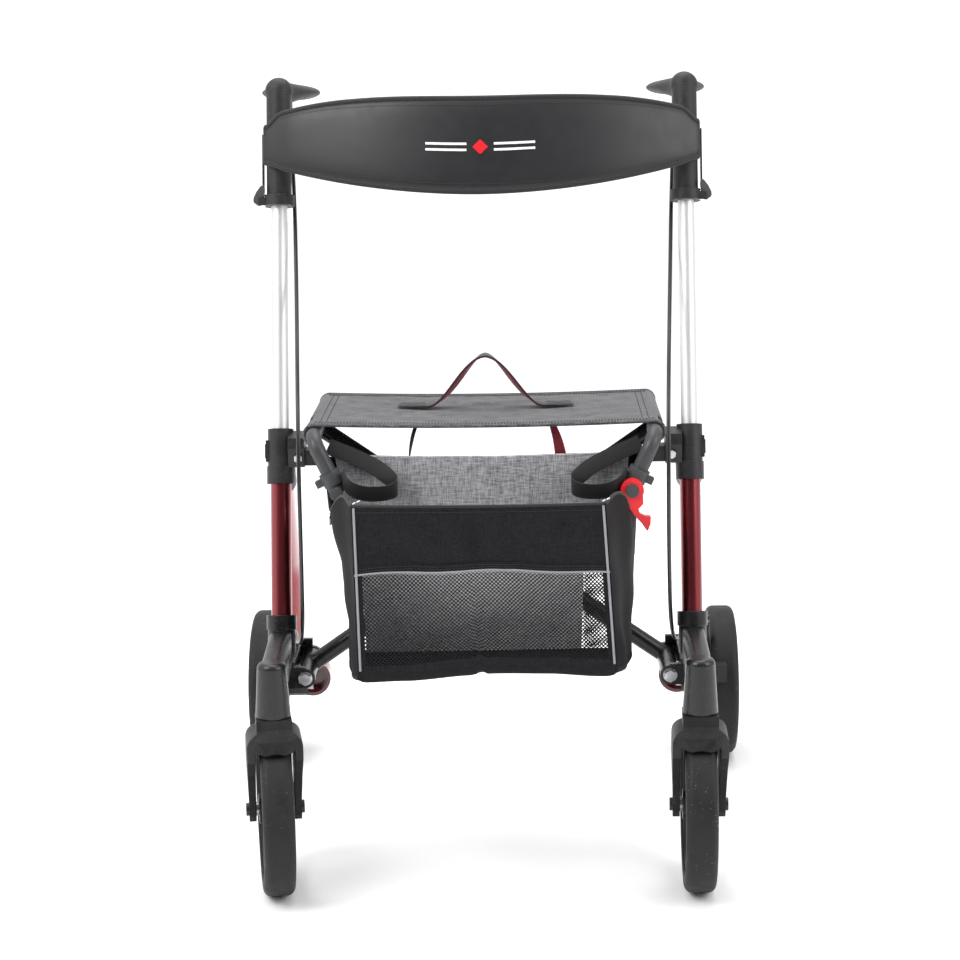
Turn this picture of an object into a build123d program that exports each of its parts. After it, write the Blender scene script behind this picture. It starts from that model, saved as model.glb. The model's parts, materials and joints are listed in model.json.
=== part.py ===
"""Folding rollator walker: two leaning side frames on four wheels, joined by an X under the seat.

Millimetres. +Y points back to the user and +Z is up. Right and left are as seen by someone who faces the
walker's front, so right is +X. The origin is on the floor, under the middle of the walker's box. Side pieces
are made for +X and mirrored.
"""

import os
from math import cos, pi, radians, sin, tan

from build123d import *

# wheels and casters
WHEEL_R = 100.0
TYRE_WIDTH = 36.0
TYRE_INNER_R = 82.0
AXLE_R = 5.0
RUNNING = 0.05
FRONT_AXLE_Y = -253.7
REAR_AXLE_Y = 254.0
REAR_WHEEL_X = 307.0
STEM_X = 240.0
TRAIL = 30.0
CASTER_YAW = {"left": 9.0, "right": -1.6}
STEM_R = 8.0
BEARING_R = 12.0
HOUSING_BOTTOM_Z = 219.5
HOUSING_TOP_Z = 282.0
FORK_INNER_X = 22.0
FORK_OUTER_X = 30.0
FORK_FLARE = 1.5
CROWN_TOP_Z = 207.0
SHOULDER_R = 20.0
STEM_FROM_Z = 200.0
STEM_TO_Z = 272.0
HOUSING_GAP = 0.8
TYRE_GAP = 4.0
SHOE_GAP = 3.0

# leaning uprights
LEAN = 14.3
UPRIGHT_X = 238.0
UPRIGHT_Y_AT_600 = -107.0
LOWER_TUBE_R = 12.0
UPPER_TUBE_R = 9.5
UPPER_TUBE_WALL = 1.6
LOWER_TUBE_FROM_Z = 284.0
LOWER_TUBE_TO_Z = 505.0
UPPER_TUBE_FROM_Z = 450.0
UPPER_TUBE_TO_Z = 893.0
COLLAR_FROM_Z = 457.0
COLLAR_TO_Z = 519.0
COLLAR_R = 15.0
ARM_BOLT = (216.0, 489.0)
ARM_BOLT_R = 3.0
SOCKET_TO_Z = 309.0
SOCKET_R = 17.0

# scissor under the seat
LOW_PIVOT_X = 212.0
LOW_PIVOT_Z = 235.0
RAIL_X = 196.0
RAIL_Z = 518.0
RAIL_R = 9.0
RAIL_WALL = 1.8
CROSS_R = 10.0
CROSS_WALL = 1.8
CROSS_BOLT_R = 4.0
SLEEVE_PLAY = 0.3
CROSS_A_Y = -134.0
CROSS_B_Y = -106.0
LUG_FRONT_Y = (-190.0, -183.0)
LUG_REAR_Y = (-92.0, -85.0)
LUG_R = 11.5
CROSS_MID_Z = LOW_PIVOT_Z + (RAIL_Z - LOW_PIVOT_Z) * LOW_PIVOT_X / (LOW_PIVOT_X + RAIL_X)

# seat and its rails
SEAT_FRONT_Y = -160.0
SEAT_REAR_Y = 60.0
SEAT_TOP_Z = 530.0
PANEL = 4.0
SLEEVE_R = 12.0
MIDDLE_GAP = 24.0
RAIL_REAR_Y = 68.0
RAIL_FRONT_Y = -190.0
RAIL_TIP = (168.0, RAIL_FRONT_Y, 458.0)
RAIL_BEND_R = 22.0
HOOK_FROM = 12.0
HOOK_TO = 21.0
HOOK_PLAY = 0.3
HOOK_PIN_R = 3.0

# rear legs
LEG_R = 12.0
LEG_WALL = 2.2
LEG_KNEE = (256.0, 110.0, 300.0)
LEG_FOOT = (267.0, 232.0, 128.0)
LEG_KNEE_R = 120.0
BRAKE_PIVOT = (195.0, 146.0)
BRAKE_PIN_R = 3.0
BRAKE_ARM_X = (281.6, 286.4)

# handles
NECK_R = 14.5
NECK_FROM_Z = 785.0
RING_R = 18.0
BEND_Z = 904.5
BEND_R = 16.4
LEVER_PIVOT = (-6.0, 882.0)
LEVER_PIN_R = 3.0
LEVER_HALF = 8.6
SLOT_HALF = 9.0
CLAMP_HALF = 6.6
CLAMP_PIN_R = 2.0
BACKREST_Z = 840.0
BACKREST_BOW = 79.0
BACKREST_THICK = 6.0
BACKREST_WRAP_R = 18.0
BACKREST_HALF_GAP = 17.0

CABLE_R = 2.4
CABLE_ROUTE = (
    (227.9, -14.2, 871.6),
    (225.0, -20.0, 822.0),
    (222.0, -42.0, 766.0),
    (219.0, -78.0, 706.0),
    (215.0, -127.0, 650.0),
    (211.0, -180.0, 600.0),
    (208.0, -222.0, 545.0),
    (207.5, -236.0, 480.0),
    (208.0, -232.0, 415.0),
    (209.5, -220.0, 355.0),
    (212.0, -198.0, 305.0),
    (217.5, -168.0, 272.0),
    (227.5, -128.0, 262.0),
    (232.0, -84.0, 260.0),
    (239.0, -30.0, 250.0),
    (250.0, 24.0, 238.0),
    (265.0, 78.0, 226.0),
    (279.0, 126.0, 214.0),
    (284.0, 158.0, 205.0),
    (284.5, 184.6, 199.0),
)


def upright_y(z):
    """Where the upright's centre line is at that height."""
    return UPRIGHT_Y_AT_600 + (z - 600.0) * tan(radians(LEAN))


def on_upright(z):
    """A frame on the right upright: its z runs up the tube and its y points back."""
    along = (0.0, sin(radians(LEAN)), cos(radians(LEAN)))
    return Plane(origin=(UPRIGHT_X, upright_y(z), z), x_dir=(1, 0, 0), z_dir=along)


def along_upright(r, from_z, to_z):
    """A cylinder on the right upright's centre line between two heights."""
    length = (to_z - from_z) / cos(radians(LEAN))
    return on_upright((from_z + to_z) / 2) * Cylinder(r, length)


def block(x0, x1, y0, y1, z0, z1):
    """A box between two corners."""
    return Pos((x0 + x1) / 2, (y0 + y1) / 2, (z0 + z1) / 2) * Box(abs(x1 - x0), abs(y1 - y0), abs(z1 - z0))


def rod_x(r, x0, x1, y, z):
    """A cylinder along X."""
    return Pos((x0 + x1) / 2, y, z) * Rot(0, 90, 0) * Cylinder(r, abs(x1 - x0))


def rod_y(r, y0, y1, x, z):
    """A cylinder along Y."""
    return Pos(x, (y0 + y1) / 2, z) * Rot(90, 0, 0) * Cylinder(r, abs(y1 - y0))


def rod_z(r, z0, z1, x, y):
    """A cylinder along Z."""
    return Pos(x, y, (z0 + z1) / 2) * Cylinder(r, abs(z1 - z0))


def rod_between(r, start, end):
    """A cylinder from one point to another."""
    line = Edge.make_line(start, end)
    middle = line @ 0.5
    return Plane(origin=middle, z_dir=line % 0.5) * Cylinder(r, line.length)


def hex_y(r, y0, y1, x, z):
    """A hexagonal head along Y, r across its flats' half."""
    face = Plane(origin=(x, y0, z), z_dir=(0, 1, 0)) * RegularPolygon(r, 6, major_radius=False)
    return extrude(face, amount=y1 - y0)


def slab_x(points, x0, x1):
    """A plate between two x values, its outline given as (y, z) points."""
    low, high = min(x0, x1), max(x0, x1)
    face = Plane(origin=(low, 0, 0), x_dir=(0, 1, 0), z_dir=(1, 0, 0)) * Polygon(*points, align=None)
    return extrude(face, amount=high - low, dir=(1, 0, 0))


def slab_y(outline, y0, y1):
    """A plate between two y values, from a sketch drawn in x and z."""
    face = Plane(origin=(0, y1, 0), x_dir=(1, 0, 0), z_dir=(0, -1, 0)) * outline
    return extrude(face, amount=y1 - y0, dir=(0, -1, 0))


def tube_along(path, r_out, r_in):
    """A round tube whose centre line is path."""
    start = Plane(origin=path @ 0, z_dir=path % 0)
    outer = sweep(start * Circle(r_out), path=path)
    return outer - sweep(start * Circle(r_in), path=path)


# ---- wheels, in a frame with the axle along X through the origin


def tyre():
    section = Rectangle(TYRE_WIDTH, WHEEL_R - TYRE_INNER_R)
    section = Pos(0, (WHEEL_R + TYRE_INNER_R) / 2) * section
    section = fillet(section.vertices().group_by(Axis.Y)[-1], 9.0)
    section = fillet(section.vertices().group_by(Axis.Y)[0], 2.0)
    return revolve(section, axis=Axis.X)


def rim():
    spoke_count = 5
    barrel = rod_x(TYRE_INNER_R, -15, 15, 0, 0) - rod_x(TYRE_INNER_R - 6, -16, 16, 0, 0)
    hub = rod_x(17, -18.5, 10, 0, 0)
    spokes = [
        Rot(360 / spoke_count * n, 0, 0) * block(-7, 5, -9, 9, 12, TYRE_INNER_R - 4)
        for n in range(spoke_count)
    ]
    wheel = barrel + hub
    for spoke in spokes:
        wheel += spoke
    return wheel - rod_x(AXLE_R + RUNNING, -20, 20, 0, 0)


# ---- caster, in a frame with its stem on Z and heading -Y


def caster_fork():
    """Stem, neck ring, round-shouldered crown over the tyre, and two legs down to the axle."""
    half_low, half_high = FORK_OUTER_X, FORK_OUTER_X + FORK_FLARE
    right = [(half_low, 84), (half_low, 112), (half_high, 165), (half_high, CROWN_TOP_Z)]
    shape = Polygon(*right, *[(-x, z) for x, z in reversed(right)], align=None)
    shape = fillet(shape.vertices().group_by(Axis.Y)[-1], SHOULDER_R)
    shape += Pos(0, CROWN_TOP_Z) * Rectangle(40, 28)
    shape -= Pos(0, 125) * Rectangle(2 * FORK_INNER_X, 84) + Pos(0, 167) * Ellipse(FORK_INNER_X, 17)
    side = [(-20, 219), (20, 219), (20, 207), (29, 196), (36, 150), (43, 108), (43, 95), (36, 87), (24, 87),
            (17, 95), (12, 120), (0, 150), (-16, 170), (-31, 174), (-35, 184), (-31, 197), (-20, 208)]
    fork = slab_y(shape, -40, 50) & slab_x(side, -40, 40)
    fork &= Pos(0, 6, 150) * Cylinder(41.5, 140)
    fork -= rod_x(WHEEL_R + TYRE_GAP, -FORK_INNER_X, FORK_INNER_X, TRAIL, WHEEL_R)
    stem = rod_z(STEM_R, STEM_FROM_Z, STEM_TO_Z, 0, 0)
    fork &= block(-60, 60, -60, 60, 80, HOUSING_BOTTOM_Z - HOUSING_GAP)
    fork += stem
    return fork - rod_x(AXLE_R, -40, 40, TRAIL, WHEEL_R)


def front_axle():
    """Axle bolt with its head and nut, and a spacer each side of the hub."""
    axle = rod_x(AXLE_R, -FORK_OUTER_X, FORK_OUTER_X, 0, 0)
    for side in (-1, 1):
        axle += rod_x(7.5, side * FORK_OUTER_X, side * (FORK_OUTER_X + 3.5), 0, 0)
    axle += rod_x(8, -FORK_INNER_X, -18.8, 0, 0)
    return axle + rod_x(8, 10.3, FORK_INNER_X, 0, 0)


def placed_caster(piece, side):
    """The caster's pieces turned to the way that it trails at rest, and put under its head."""
    x = STEM_X if side == "right" else -STEM_X
    return Pos(x, FRONT_AXLE_Y - TRAIL, 0) * Rot(0, 0, CASTER_YAW[side]) * piece


# ---- side frame, made for +X


def lower_tube():
    bore = along_upright(UPPER_TUBE_R + RUNNING, LOWER_TUBE_FROM_Z - 5, LOWER_TUBE_TO_Z + 5)
    return along_upright(LOWER_TUBE_R, LOWER_TUBE_FROM_Z, LOWER_TUBE_TO_Z) - bore


def upper_tube():
    tube = along_upright(UPPER_TUBE_R, UPPER_TUBE_FROM_Z, UPPER_TUBE_TO_Z)
    return tube - along_upright(UPPER_TUBE_R - UPPER_TUBE_WALL, UPPER_TUBE_FROM_Z - 5, UPPER_TUBE_TO_Z + 5)


def button_at(x0, x1, half_y, half_z):
    """A block on the collar's outer side, in the collar's leaning frame."""
    middle = (x0 + x1) / 2 - UPRIGHT_X
    return on_upright(494.0) * Pos(middle, 0, 0) * Box(x1 - x0, 2 * half_y, 2 * half_z)


def leg_path():
    top = on_upright(470.0).from_local_coords((0, 18.0, 0))
    return FilletPolyline(top, LEG_KNEE, LEG_FOOT, radius=LEG_KNEE_R)


def rear_leg():
    return tube_along(leg_path(), LEG_R, LEG_R - LEG_WALL)


def solid_leg():
    path = leg_path()
    return sweep(Plane(origin=path @ 0, z_dir=path % 0) * Circle(LEG_R), path=path)


def height_collar():
    """Moulded collar on the tube joint, with an arm and a saddle for the seat rail and a boss for the leg."""
    collar = along_upright(COLLAR_R, COLLAR_FROM_Z, COLLAR_TO_Z)
    collar += along_upright(COLLAR_R + 1.2, COLLAR_FROM_Z, COLLAR_FROM_Z + 20)
    collar += button_at(244, 254.8, 8, 12.5)
    arm = [(-151, 478), (-153, 500), (-150, 512), (-128, 517), (-118, 500), (-119, 478)]
    collar += slab_x(arm, 209, 228)
    collar += block(187, 210, -147, -123, 479, 497)
    top, along = leg_path() @ 0, leg_path() % 0
    collar += rod_between(COLLAR_R + 0.5, top - along * 14, top + along * 24)
    collar -= along_upright(LOWER_TUBE_R, COLLAR_FROM_Z - 30, LOWER_TUBE_TO_Z)
    collar -= along_upright(UPPER_TUBE_R + RUNNING, COLLAR_FROM_Z, COLLAR_TO_Z + 5)
    collar -= solid_leg()
    collar -= button_at(250.5, 262, 4.4, 8.4)
    return collar - rod_y(ARM_BOLT_R, -160, -110, *ARM_BOLT)


def height_button():
    return button_at(253.2, 256.2, 4.1, 8.1)


def front_head():
    """Casting at the bottom of the upright: tube socket, neck, caster housing and the two scissor lugs."""
    y = FRONT_AXLE_Y - TRAIL
    height = HOUSING_TOP_Z - HOUSING_BOTTOM_Z
    housing = Pos(STEM_X, y, HOUSING_BOTTOM_Z + height / 2) * Cone(20.0, 16.0, height)
    housing = fillet(housing.edges().group_by(Axis.Z)[-1], 7.0)
    neck_ends = [(y + 2, STEM_X, 256, 30, 44, 12), (-182, UPRIGHT_X, 277, 25, 44, 8)]
    neck = loft([
        Plane(origin=(x, at_y, z), x_dir=(1, 0, 0), z_dir=(0, 1, 0)) * RectangleRounded(wide, tall, r)
        for at_y, x, z, wide, tall, r in neck_ends
    ])
    socket = along_upright(SOCKET_R - 1, 262.0, SOCKET_TO_Z)
    socket += along_upright(SOCKET_R + 0.5, SOCKET_TO_Z - 16, SOCKET_TO_Z)
    head = housing + neck + socket
    head += block(224.5, 234, LUG_FRONT_Y[0], LUG_REAR_Y[1], 223, 254)
    for (y0, y1), top in ((LUG_FRONT_Y, 248), (LUG_REAR_Y, 256)):
        head += block(LOW_PIVOT_X, 232, y0, y1, LOW_PIVOT_Z - LUG_R, top)
        head += rod_y(LUG_R, y0, y1, LOW_PIVOT_X, LOW_PIVOT_Z)
    head -= rod_z(BEARING_R, HOUSING_BOTTOM_Z - 5, 274, STEM_X, y)
    head -= along_upright(LOWER_TUBE_R, LOWER_TUBE_FROM_Z, SOCKET_TO_Z + 20)
    return head - rod_y(AXLE_R, -200, -60, LOW_PIVOT_X, LOW_PIVOT_Z)


def stem_bearings():
    """The two bearing rings that the caster's stem turns in."""
    y = FRONT_AXLE_Y - TRAIL
    rings = []
    for z0 in (222.0, 261.0):
        ring = rod_z(BEARING_R, z0, z0 + 9, STEM_X, y)
        rings.append(ring - rod_z(STEM_R + RUNNING, z0 - 1, z0 + 10, STEM_X, y))
    return rings


def rear_bracket():
    """Casting at the foot of the rear leg: socket, axle boss and the ear of the brake arm."""
    path = leg_path()
    foot, along = path @ 1, path % 1
    bracket = rod_between(LEG_R + 3.5, foot - along * 44, foot + along * 3)
    bracket += slab_x([(212, 140), (222, 160), (258, 124), (271, 104), (254, 83), (236, 90)], 256, 281)
    bracket += rod_x(17, 254, 286.5, REAR_AXLE_Y, WHEEL_R)
    bracket += rod_x(7, 262, 281, *BRAKE_PIVOT)
    bracket += slab_x([(190, 140), (190, 153), (204, 166), (226, 160), (214, 136)], 264, 279)
    bracket -= solid_leg()
    bracket -= rod_x(AXLE_R, 240, 300, REAR_AXLE_Y, WHEEL_R)
    return bracket - rod_x(BRAKE_PIN_R, 250, 300, *BRAKE_PIVOT)


def rear_axle():
    """Axle bolt with a hexagonal head inside and a nut in the hub's recess."""
    axle = rod_x(AXLE_R, 250, 322, REAR_AXLE_Y, WHEEL_R)
    axle += rod_x(8.5, 247, 254, REAR_AXLE_Y, WHEEL_R)
    axle += rod_x(7.5, 286.5, 288.2, REAR_AXLE_Y, WHEEL_R)
    return axle + rod_x(8, 317.4, 324, REAR_AXLE_Y, WHEEL_R)


def kerb_pedal():
    """Foot cup for tipping the walker over a kerb, behind the rear axle's casting."""
    x, z = 250.0, 101.0
    cup = rod_y(25, 273, 302, x, z) - rod_y(20.5, 270, 296, x, z)
    cup -= block(200, 300, 260, 310, 118, 140)
    cup += block(259, 271, 258, 277, 92, 108)
    return cup - rear_bracket() - rear_axle()


def brake_shoe():
    """Arm beside the wheel with a block that presses on the tyre, and a lug for the cable above its pivot."""
    y, z = BRAKE_PIVOT
    crank = [(y + 7, z), (y - 1, 206), (y - 10, 206), (y - 8, z + 8), (150, 148), (148, 134), (y, z - 7)]
    arm = slab_x(crank, *BRAKE_ARM_X) + rod_x(7.5, *BRAKE_ARM_X, y, z)
    shoe = block(BRAKE_ARM_X[0], REAR_WHEEL_X, 144, 166, 127, 150)
    shoe -= rod_x(WHEEL_R + SHOE_GAP, 270, 330, REAR_AXLE_Y, WHEEL_R)
    return arm + shoe - rod_x(BRAKE_PIN_R + RUNNING, 270, 300, y, z)


def side_bolts():
    """The scissor's pivot bolt, the arm's bolt and the brake arm's pin."""
    pivot = rod_y(AXLE_R, LUG_FRONT_Y[0] - 1, -80, LOW_PIVOT_X, LOW_PIVOT_Z)
    pivot += rod_y(8.2, LUG_FRONT_Y[0] - 1.4, LUG_FRONT_Y[0], LOW_PIVOT_X, LOW_PIVOT_Z)
    pivot += hex_y(6.5, LUG_FRONT_Y[0] - 6.5, LUG_FRONT_Y[0] - 1, LOW_PIVOT_X, LOW_PIVOT_Z)
    pivot += hex_y(8.5, LUG_REAR_Y[1], -78, LOW_PIVOT_X, LOW_PIVOT_Z)
    arm = rod_y(ARM_BOLT_R, -154, -120, *ARM_BOLT) + hex_y(4.4, -158, -154, *ARM_BOLT)
    y, z = BRAKE_PIVOT
    pin = rod_x(BRAKE_PIN_R, 262, 287, y, z) + rod_x(5, BRAKE_ARM_X[1] + 0.4, BRAKE_ARM_X[1] + 2, y, z)
    return [pivot, arm, pin]


def brake_cable():
    """Sheathed cable from the lever down the upright and back to the brake arm."""
    points = [Vector(*p) for p in CABLE_ROUTE]
    radii = []
    for before, here, after in zip(points, points[1:], points[2:]):
        turn = radians((here - before).get_angle(after - here))
        shorter = min((here - before).length, (after - here).length)
        radii.append(0.45 * shorter / tan(turn / 2))
    print("cable arc radii", [round(r) for r in radii])
    path = FilletPolyline(*points, radius=radii)
    cable = sweep(Plane(origin=path @ 0, z_dir=path % 0) * Circle(CABLE_R), path=path)
    expected = pi * CABLE_R**2 * path.length
    print("cable length", round(path.length, 1), "volume ratio", round(cable.volume / expected, 4))
    return cable


# ---- handle, made for +X


def clamp_pivot():
    return on_upright(779.0).from_local_coords((20.5, 0, 0))


def grip():
    """Neck sleeve, rounded bend and a flared palm grip in one moulding, with the clamp ring at its foot."""
    neck = along_upright(NECK_R, NECK_FROM_Z, BEND_Z)
    bend = Pos(UPRIGHT_X, upright_y(BEND_Z) + 3, BEND_Z) * Sphere(BEND_R)
    sections = [(-33, 0, 904, 12, 12), (12, 0, 901.5, 15.5, 14), (56, -3, 901, 31, 10),
                (98, -3, 899, 34.5, 9), (124, -2, 897, 26, 6.5)]
    faces = [
        Plane(origin=(UPRIGHT_X + dx, y, z), x_dir=(1, 0, 0), z_dir=(0, 1, 0)) * Ellipse(rx, rz)
        for y, dx, z, rx, rz in sections
    ]
    body = neck + bend + loft(faces)
    body += along_upright(RING_R, NECK_FROM_Z - 12, NECK_FROM_Z)
    pivot = clamp_pivot()
    for side in (-1, 1):
        y = pivot.Y + side * (CLAMP_HALF + 1.9)
        body += block(UPRIGHT_X + 15, pivot.X + 3, y - 1.5, y + 1.5, pivot.Z - 4, pivot.Z + 4)
    body -= rod_y(7.2, pivot.Y - CLAMP_HALF - 0.4, pivot.Y + CLAMP_HALF + 0.4, pivot.X, pivot.Z)
    body += rod_y(CLAMP_PIN_R, pivot.Y - 9, pivot.Y + 9, pivot.X, pivot.Z)
    housing = [(-34, 873), (-30, 896), (4, 896), (4, 880), (-4, 873)]
    body += slab_x(housing, UPRIGHT_X - SLOT_HALF - 3.5, UPRIGHT_X + SLOT_HALF + 3.5)
    body -= block(UPRIGHT_X - SLOT_HALF, UPRIGHT_X + SLOT_HALF, -20.5, 12, 860, 891.5)
    body += rod_x(LEVER_PIN_R, UPRIGHT_X - SLOT_HALF - 2, UPRIGHT_X + SLOT_HALF + 2, *LEVER_PIVOT)
    return body - along_upright(UPPER_TUBE_R, NECK_FROM_Z - 20, UPPER_TUBE_TO_Z)


def brake_lever():
    """Lever under the grip, turning on the pin across the grip's slot."""
    y, z = LEVER_PIVOT
    outline = [(y - 3, z - 6), (y + 3, z + 6), (40, 872), (84, 856), (113, 845), (116, 839), (110, 836),
               (80, 847), (38, 861)]
    sides = UPRIGHT_X - LEVER_HALF, UPRIGHT_X + LEVER_HALF
    blade = slab_x(outline, *sides) + rod_x(6.5, *sides, y, z)
    return blade - rod_x(LEVER_PIN_R + RUNNING, 200, 280, y, z)


def clamp_lever():
    """Leaf-shaped cam lever that tightens the ring at the foot of the neck."""
    p = clamp_pivot()
    leaf = [(-2.4, 4.3), (-3.5, 12), (-3, 19), (0.5, 18), (5.5, 11.5), (8.8, 5), (9.4, 1), (8.4, -1.4),
            (6, -3.2), (3.5, -5), (0, -4.6)]
    paddle = slab_y(Pos(p.X, p.Z) * Polygon(*leaf, align=None), p.Y - CLAMP_HALF, p.Y + CLAMP_HALF)
    paddle += rod_y(4, p.Y - CLAMP_HALF, p.Y + CLAMP_HALF, p.X, p.Z)
    return paddle - rod_y(CLAMP_PIN_R + RUNNING, p.Y - 10, p.Y + 10, p.X, p.Z)


def backrest():
    """Half of the bowed band, which runs past the front of the neck, with the loop round the neck."""
    rise = BACKREST_BOW - BACKREST_WRAP_R
    arc_r = (UPRIGHT_X**2 + rise**2) / (2 * rise)
    ring = Pos(-UPRIGHT_X, arc_r - BACKREST_BOW) * (
        Circle(arc_r + BACKREST_THICK / 2) - Circle(arc_r - BACKREST_THICK / 2)
    )
    long = UPRIGHT_X - BACKREST_HALF_GAP
    window = Pos(-long / 2 + 3, -60) * Rectangle(long + 6, 130)
    band = extrude(ring & window, amount=60, both=True)
    lens = [(8, -23), (8, 31), (-147, 40), (-UPRIGHT_X, 41), (-UPRIGHT_X, -68), (-147, -49), (-60, -31)]
    side_view = Plane(origin=(0, -200, 0), x_dir=(1, 0, 0), z_dir=(0, -1, 0)) * Polygon(*lens, align=None)
    band &= extrude(side_view, amount=300, dir=(0, 1, 0))
    loop = Cylinder(NECK_R + 3, 50) - Cylinder(NECK_R + 0.3, 70)
    return on_upright(BACKREST_Z) * (band - Cylinder(NECK_R + 0.3, 200) + loop)


# ---- scissor, seat and bag


def cross_tube(side, y):
    """One tube of the X, from its lower pivot sleeve on one side up to the seat rail on the other."""
    low = (-side * LOW_PIVOT_X, y, LOW_PIVOT_Z)
    high = (side * RAIL_X, y, RAIL_Z)
    tube = rod_between(CROSS_R, low, high) - rod_between(CROSS_R - CROSS_WALL, low, high)
    sleeve_y = LUG_FRONT_Y[1] + SLEEVE_PLAY, LUG_REAR_Y[0] - SLEEVE_PLAY
    tube += rod_y(CROSS_R + 0.5, *sleeve_y, low[0], LOW_PIVOT_Z)
    tube -= rod_y(AXLE_R + RUNNING, -200, -60, low[0], LOW_PIVOT_Z)
    tube -= rod_y(RAIL_R, -250, 100, side * RAIL_X, RAIL_Z)
    tube -= block(side * (RAIL_X - 30), side * (RAIL_X + 20), -200, 0, SEAT_TOP_Z - PANEL - 1.6, 560)
    tube -= block(side * RAIL_X, side * (RAIL_X + 30), -200, 0, 480, 560)
    bolt_r = CROSS_BOLT_R if side > 0 else CROSS_BOLT_R + RUNNING
    return tube - rod_y(bolt_r, -200, 0, 0, CROSS_MID_Z)


def cross_bolt():
    """Bolt through the crossing, with the spacer between the tubes."""
    bolt = rod_y(CROSS_BOLT_R, -148, -92, 0, CROSS_MID_Z)
    bolt += hex_y(7.5, -149.5, CROSS_A_Y - CROSS_R, 0, CROSS_MID_Z)
    bolt += hex_y(7, CROSS_B_Y + CROSS_R + SLEEVE_PLAY, -89, 0, CROSS_MID_Z)
    return bolt + rod_y(11, CROSS_A_Y + CROSS_R, CROSS_B_Y - CROSS_R - SLEEVE_PLAY, 0, CROSS_MID_Z)


def rail_path():
    return FilletPolyline(
        (RAIL_X, RAIL_REAR_Y, RAIL_Z), (RAIL_X, RAIL_FRONT_Y, RAIL_Z), RAIL_TIP, radius=RAIL_BEND_R
    )


def seat_rail():
    return tube_along(rail_path(), RAIL_R, RAIL_R - RAIL_WALL)


def rail_clamp():
    """Plastic clip round the rail's drooping tip, with an outer tab, an end cap and a stud at its front."""
    path = rail_path()
    tip, along = path @ 1, path % 1
    clip = rod_between(RAIL_R + 3, tip - along * 24, tip - along * 8)
    clip += rod_between(RAIL_R + 1.2, tip - along * 9, tip + along * 2.5)
    clip += Plane(origin=tip - along * 16, x_dir=(0, 1, 0), z_dir=along) * Pos(0, 14.5, 0) * Box(12, 9, 8)
    clip -= rod_between(RAIL_R, tip - along * 60, tip)
    hook_back, hook_front = RAIL_FRONT_Y - HOOK_FROM, RAIL_FRONT_Y - HOOK_TO
    clip += rod_y(6.5, hook_back + HOOK_PLAY, RAIL_FRONT_Y - RAIL_R, tip.X, tip.Z)
    clip += rod_y(HOOK_PIN_R, hook_front - 1, hook_back + 1, tip.X, tip.Z)
    return clip + rod_y(7.5, hook_front - 4, hook_front - HOOK_PLAY, tip.X, tip.Z)


def fold_hook():
    """Red catch that holds the walker folded, turning on the stud at the right rail's tip."""
    x, _, z = RAIL_TIP
    outline = [(-10, 6), (-9.5, -7), (-4, -20), (4, -31), (10.5, -38), (17, -48), (20.5, -39), (21, -30.5),
               (14.5, -30), (8.5, -27), (6.8, -21.5), (12.5, -15.5), (12, -6), (10.5, 6)]
    catch = Polygon(*outline, align=None)
    catch = fillet(catch.vertices(), 1.2) + Circle(13.2)
    hook = slab_y(Pos(x, z) * catch, RAIL_FRONT_Y - HOOK_TO, RAIL_FRONT_Y - HOOK_FROM)
    return hook - rod_y(HOOK_PIN_R + RUNNING, RAIL_FRONT_Y - HOOK_TO - 5, RAIL_FRONT_Y, x, z)


def seat_half():
    """Half of the seat's fabric with the sleeve that turns on its rail."""
    inner = MIDDLE_GAP
    panel = block(inner, RAIL_X, SEAT_FRONT_Y, SEAT_REAR_Y, SEAT_TOP_Z - PANEL, SEAT_TOP_Z)
    panel += rod_y(SLEEVE_R, SEAT_FRONT_Y, SEAT_REAR_Y, RAIL_X, RAIL_Z)
    panel -= rod_y(RAIL_R + 0.3, SEAT_FRONT_Y - 5, SEAT_REAR_Y + 5, RAIL_X, RAIL_Z)
    for y in (CROSS_A_Y, CROSS_B_Y):
        panel -= block(RAIL_X - 40, RAIL_X + 20, y - 14, y + 14, 490, SEAT_TOP_Z - PANEL - 0.2)
    return panel


def fold_strap():
    """Half of the pull strap that arches over the middle of the seat."""
    outline = [(86, 533), (12, 591), (12, 596), (88, 536.5)]
    face = Plane(origin=(0, -24, 0), x_dir=(1, 0, 0), z_dir=(0, -1, 0)) * Polygon(*outline, align=None)
    return extrude(face, amount=32, dir=(0, -1, 0))


def bag_shape(grow):
    """The bag's outer shape, shrunk inwards by -grow, lofted from its floor to its rim."""
    def outline(z, front_y, rear_y, front_x, rear_x):
        corners = [(-front_x, front_y), (front_x, front_y), (rear_x, rear_y), (-rear_x, rear_y)]
        ring = Polygon(*corners, align=None)
        return Plane(origin=(0, 0, z)) * ring
    low = outline(250 - grow, -278 - grow, -158 + grow, 143 + grow, 160 + grow)
    high = outline(444, -290 - grow, -158 + grow, 139 + grow, 166 + grow)
    return loft([low, high])


def bag():
    """Open-topped fabric bag hung between the seat rails' tips, its back panel standing above its front."""
    wall = 3.0
    inner = bag_shape(-wall)
    shell = bag_shape(0) - inner
    back = block(-145, 145, -161, -158, 432, 488)
    return shell + back


def bag_straps():
    """Webbing from the bag's back corners up to the seat rails."""
    straps = []
    for side in (-1, 1):
        points = [(side * 100, 470), (side * 184, 508), (side * 186, 504), (side * 102, 466)]
        face = Plane(origin=(0, -152, 0), x_dir=(1, 0, 0), z_dir=(0, -1, 0)) * Polygon(*points, align=None)
        straps.append(extrude(face, amount=5, dir=(0, -1, 0)))
    return straps


def save(name, piece):
    solids = [s for part in (piece if isinstance(piece, list) else [piece]) for s in part.solids()]
    export_step(solids[0] if len(solids) == 1 else Compound(children=solids), f"parts/{name}.step")


def both_sides(name, piece):
    """The +X piece and its mirror image, under the side's name."""
    several = piece if isinstance(piece, list) else [piece]
    save(f"right_{name}", several)
    save(f"left_{name}", [mirror(part, about=Plane.YZ) for part in several])


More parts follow.
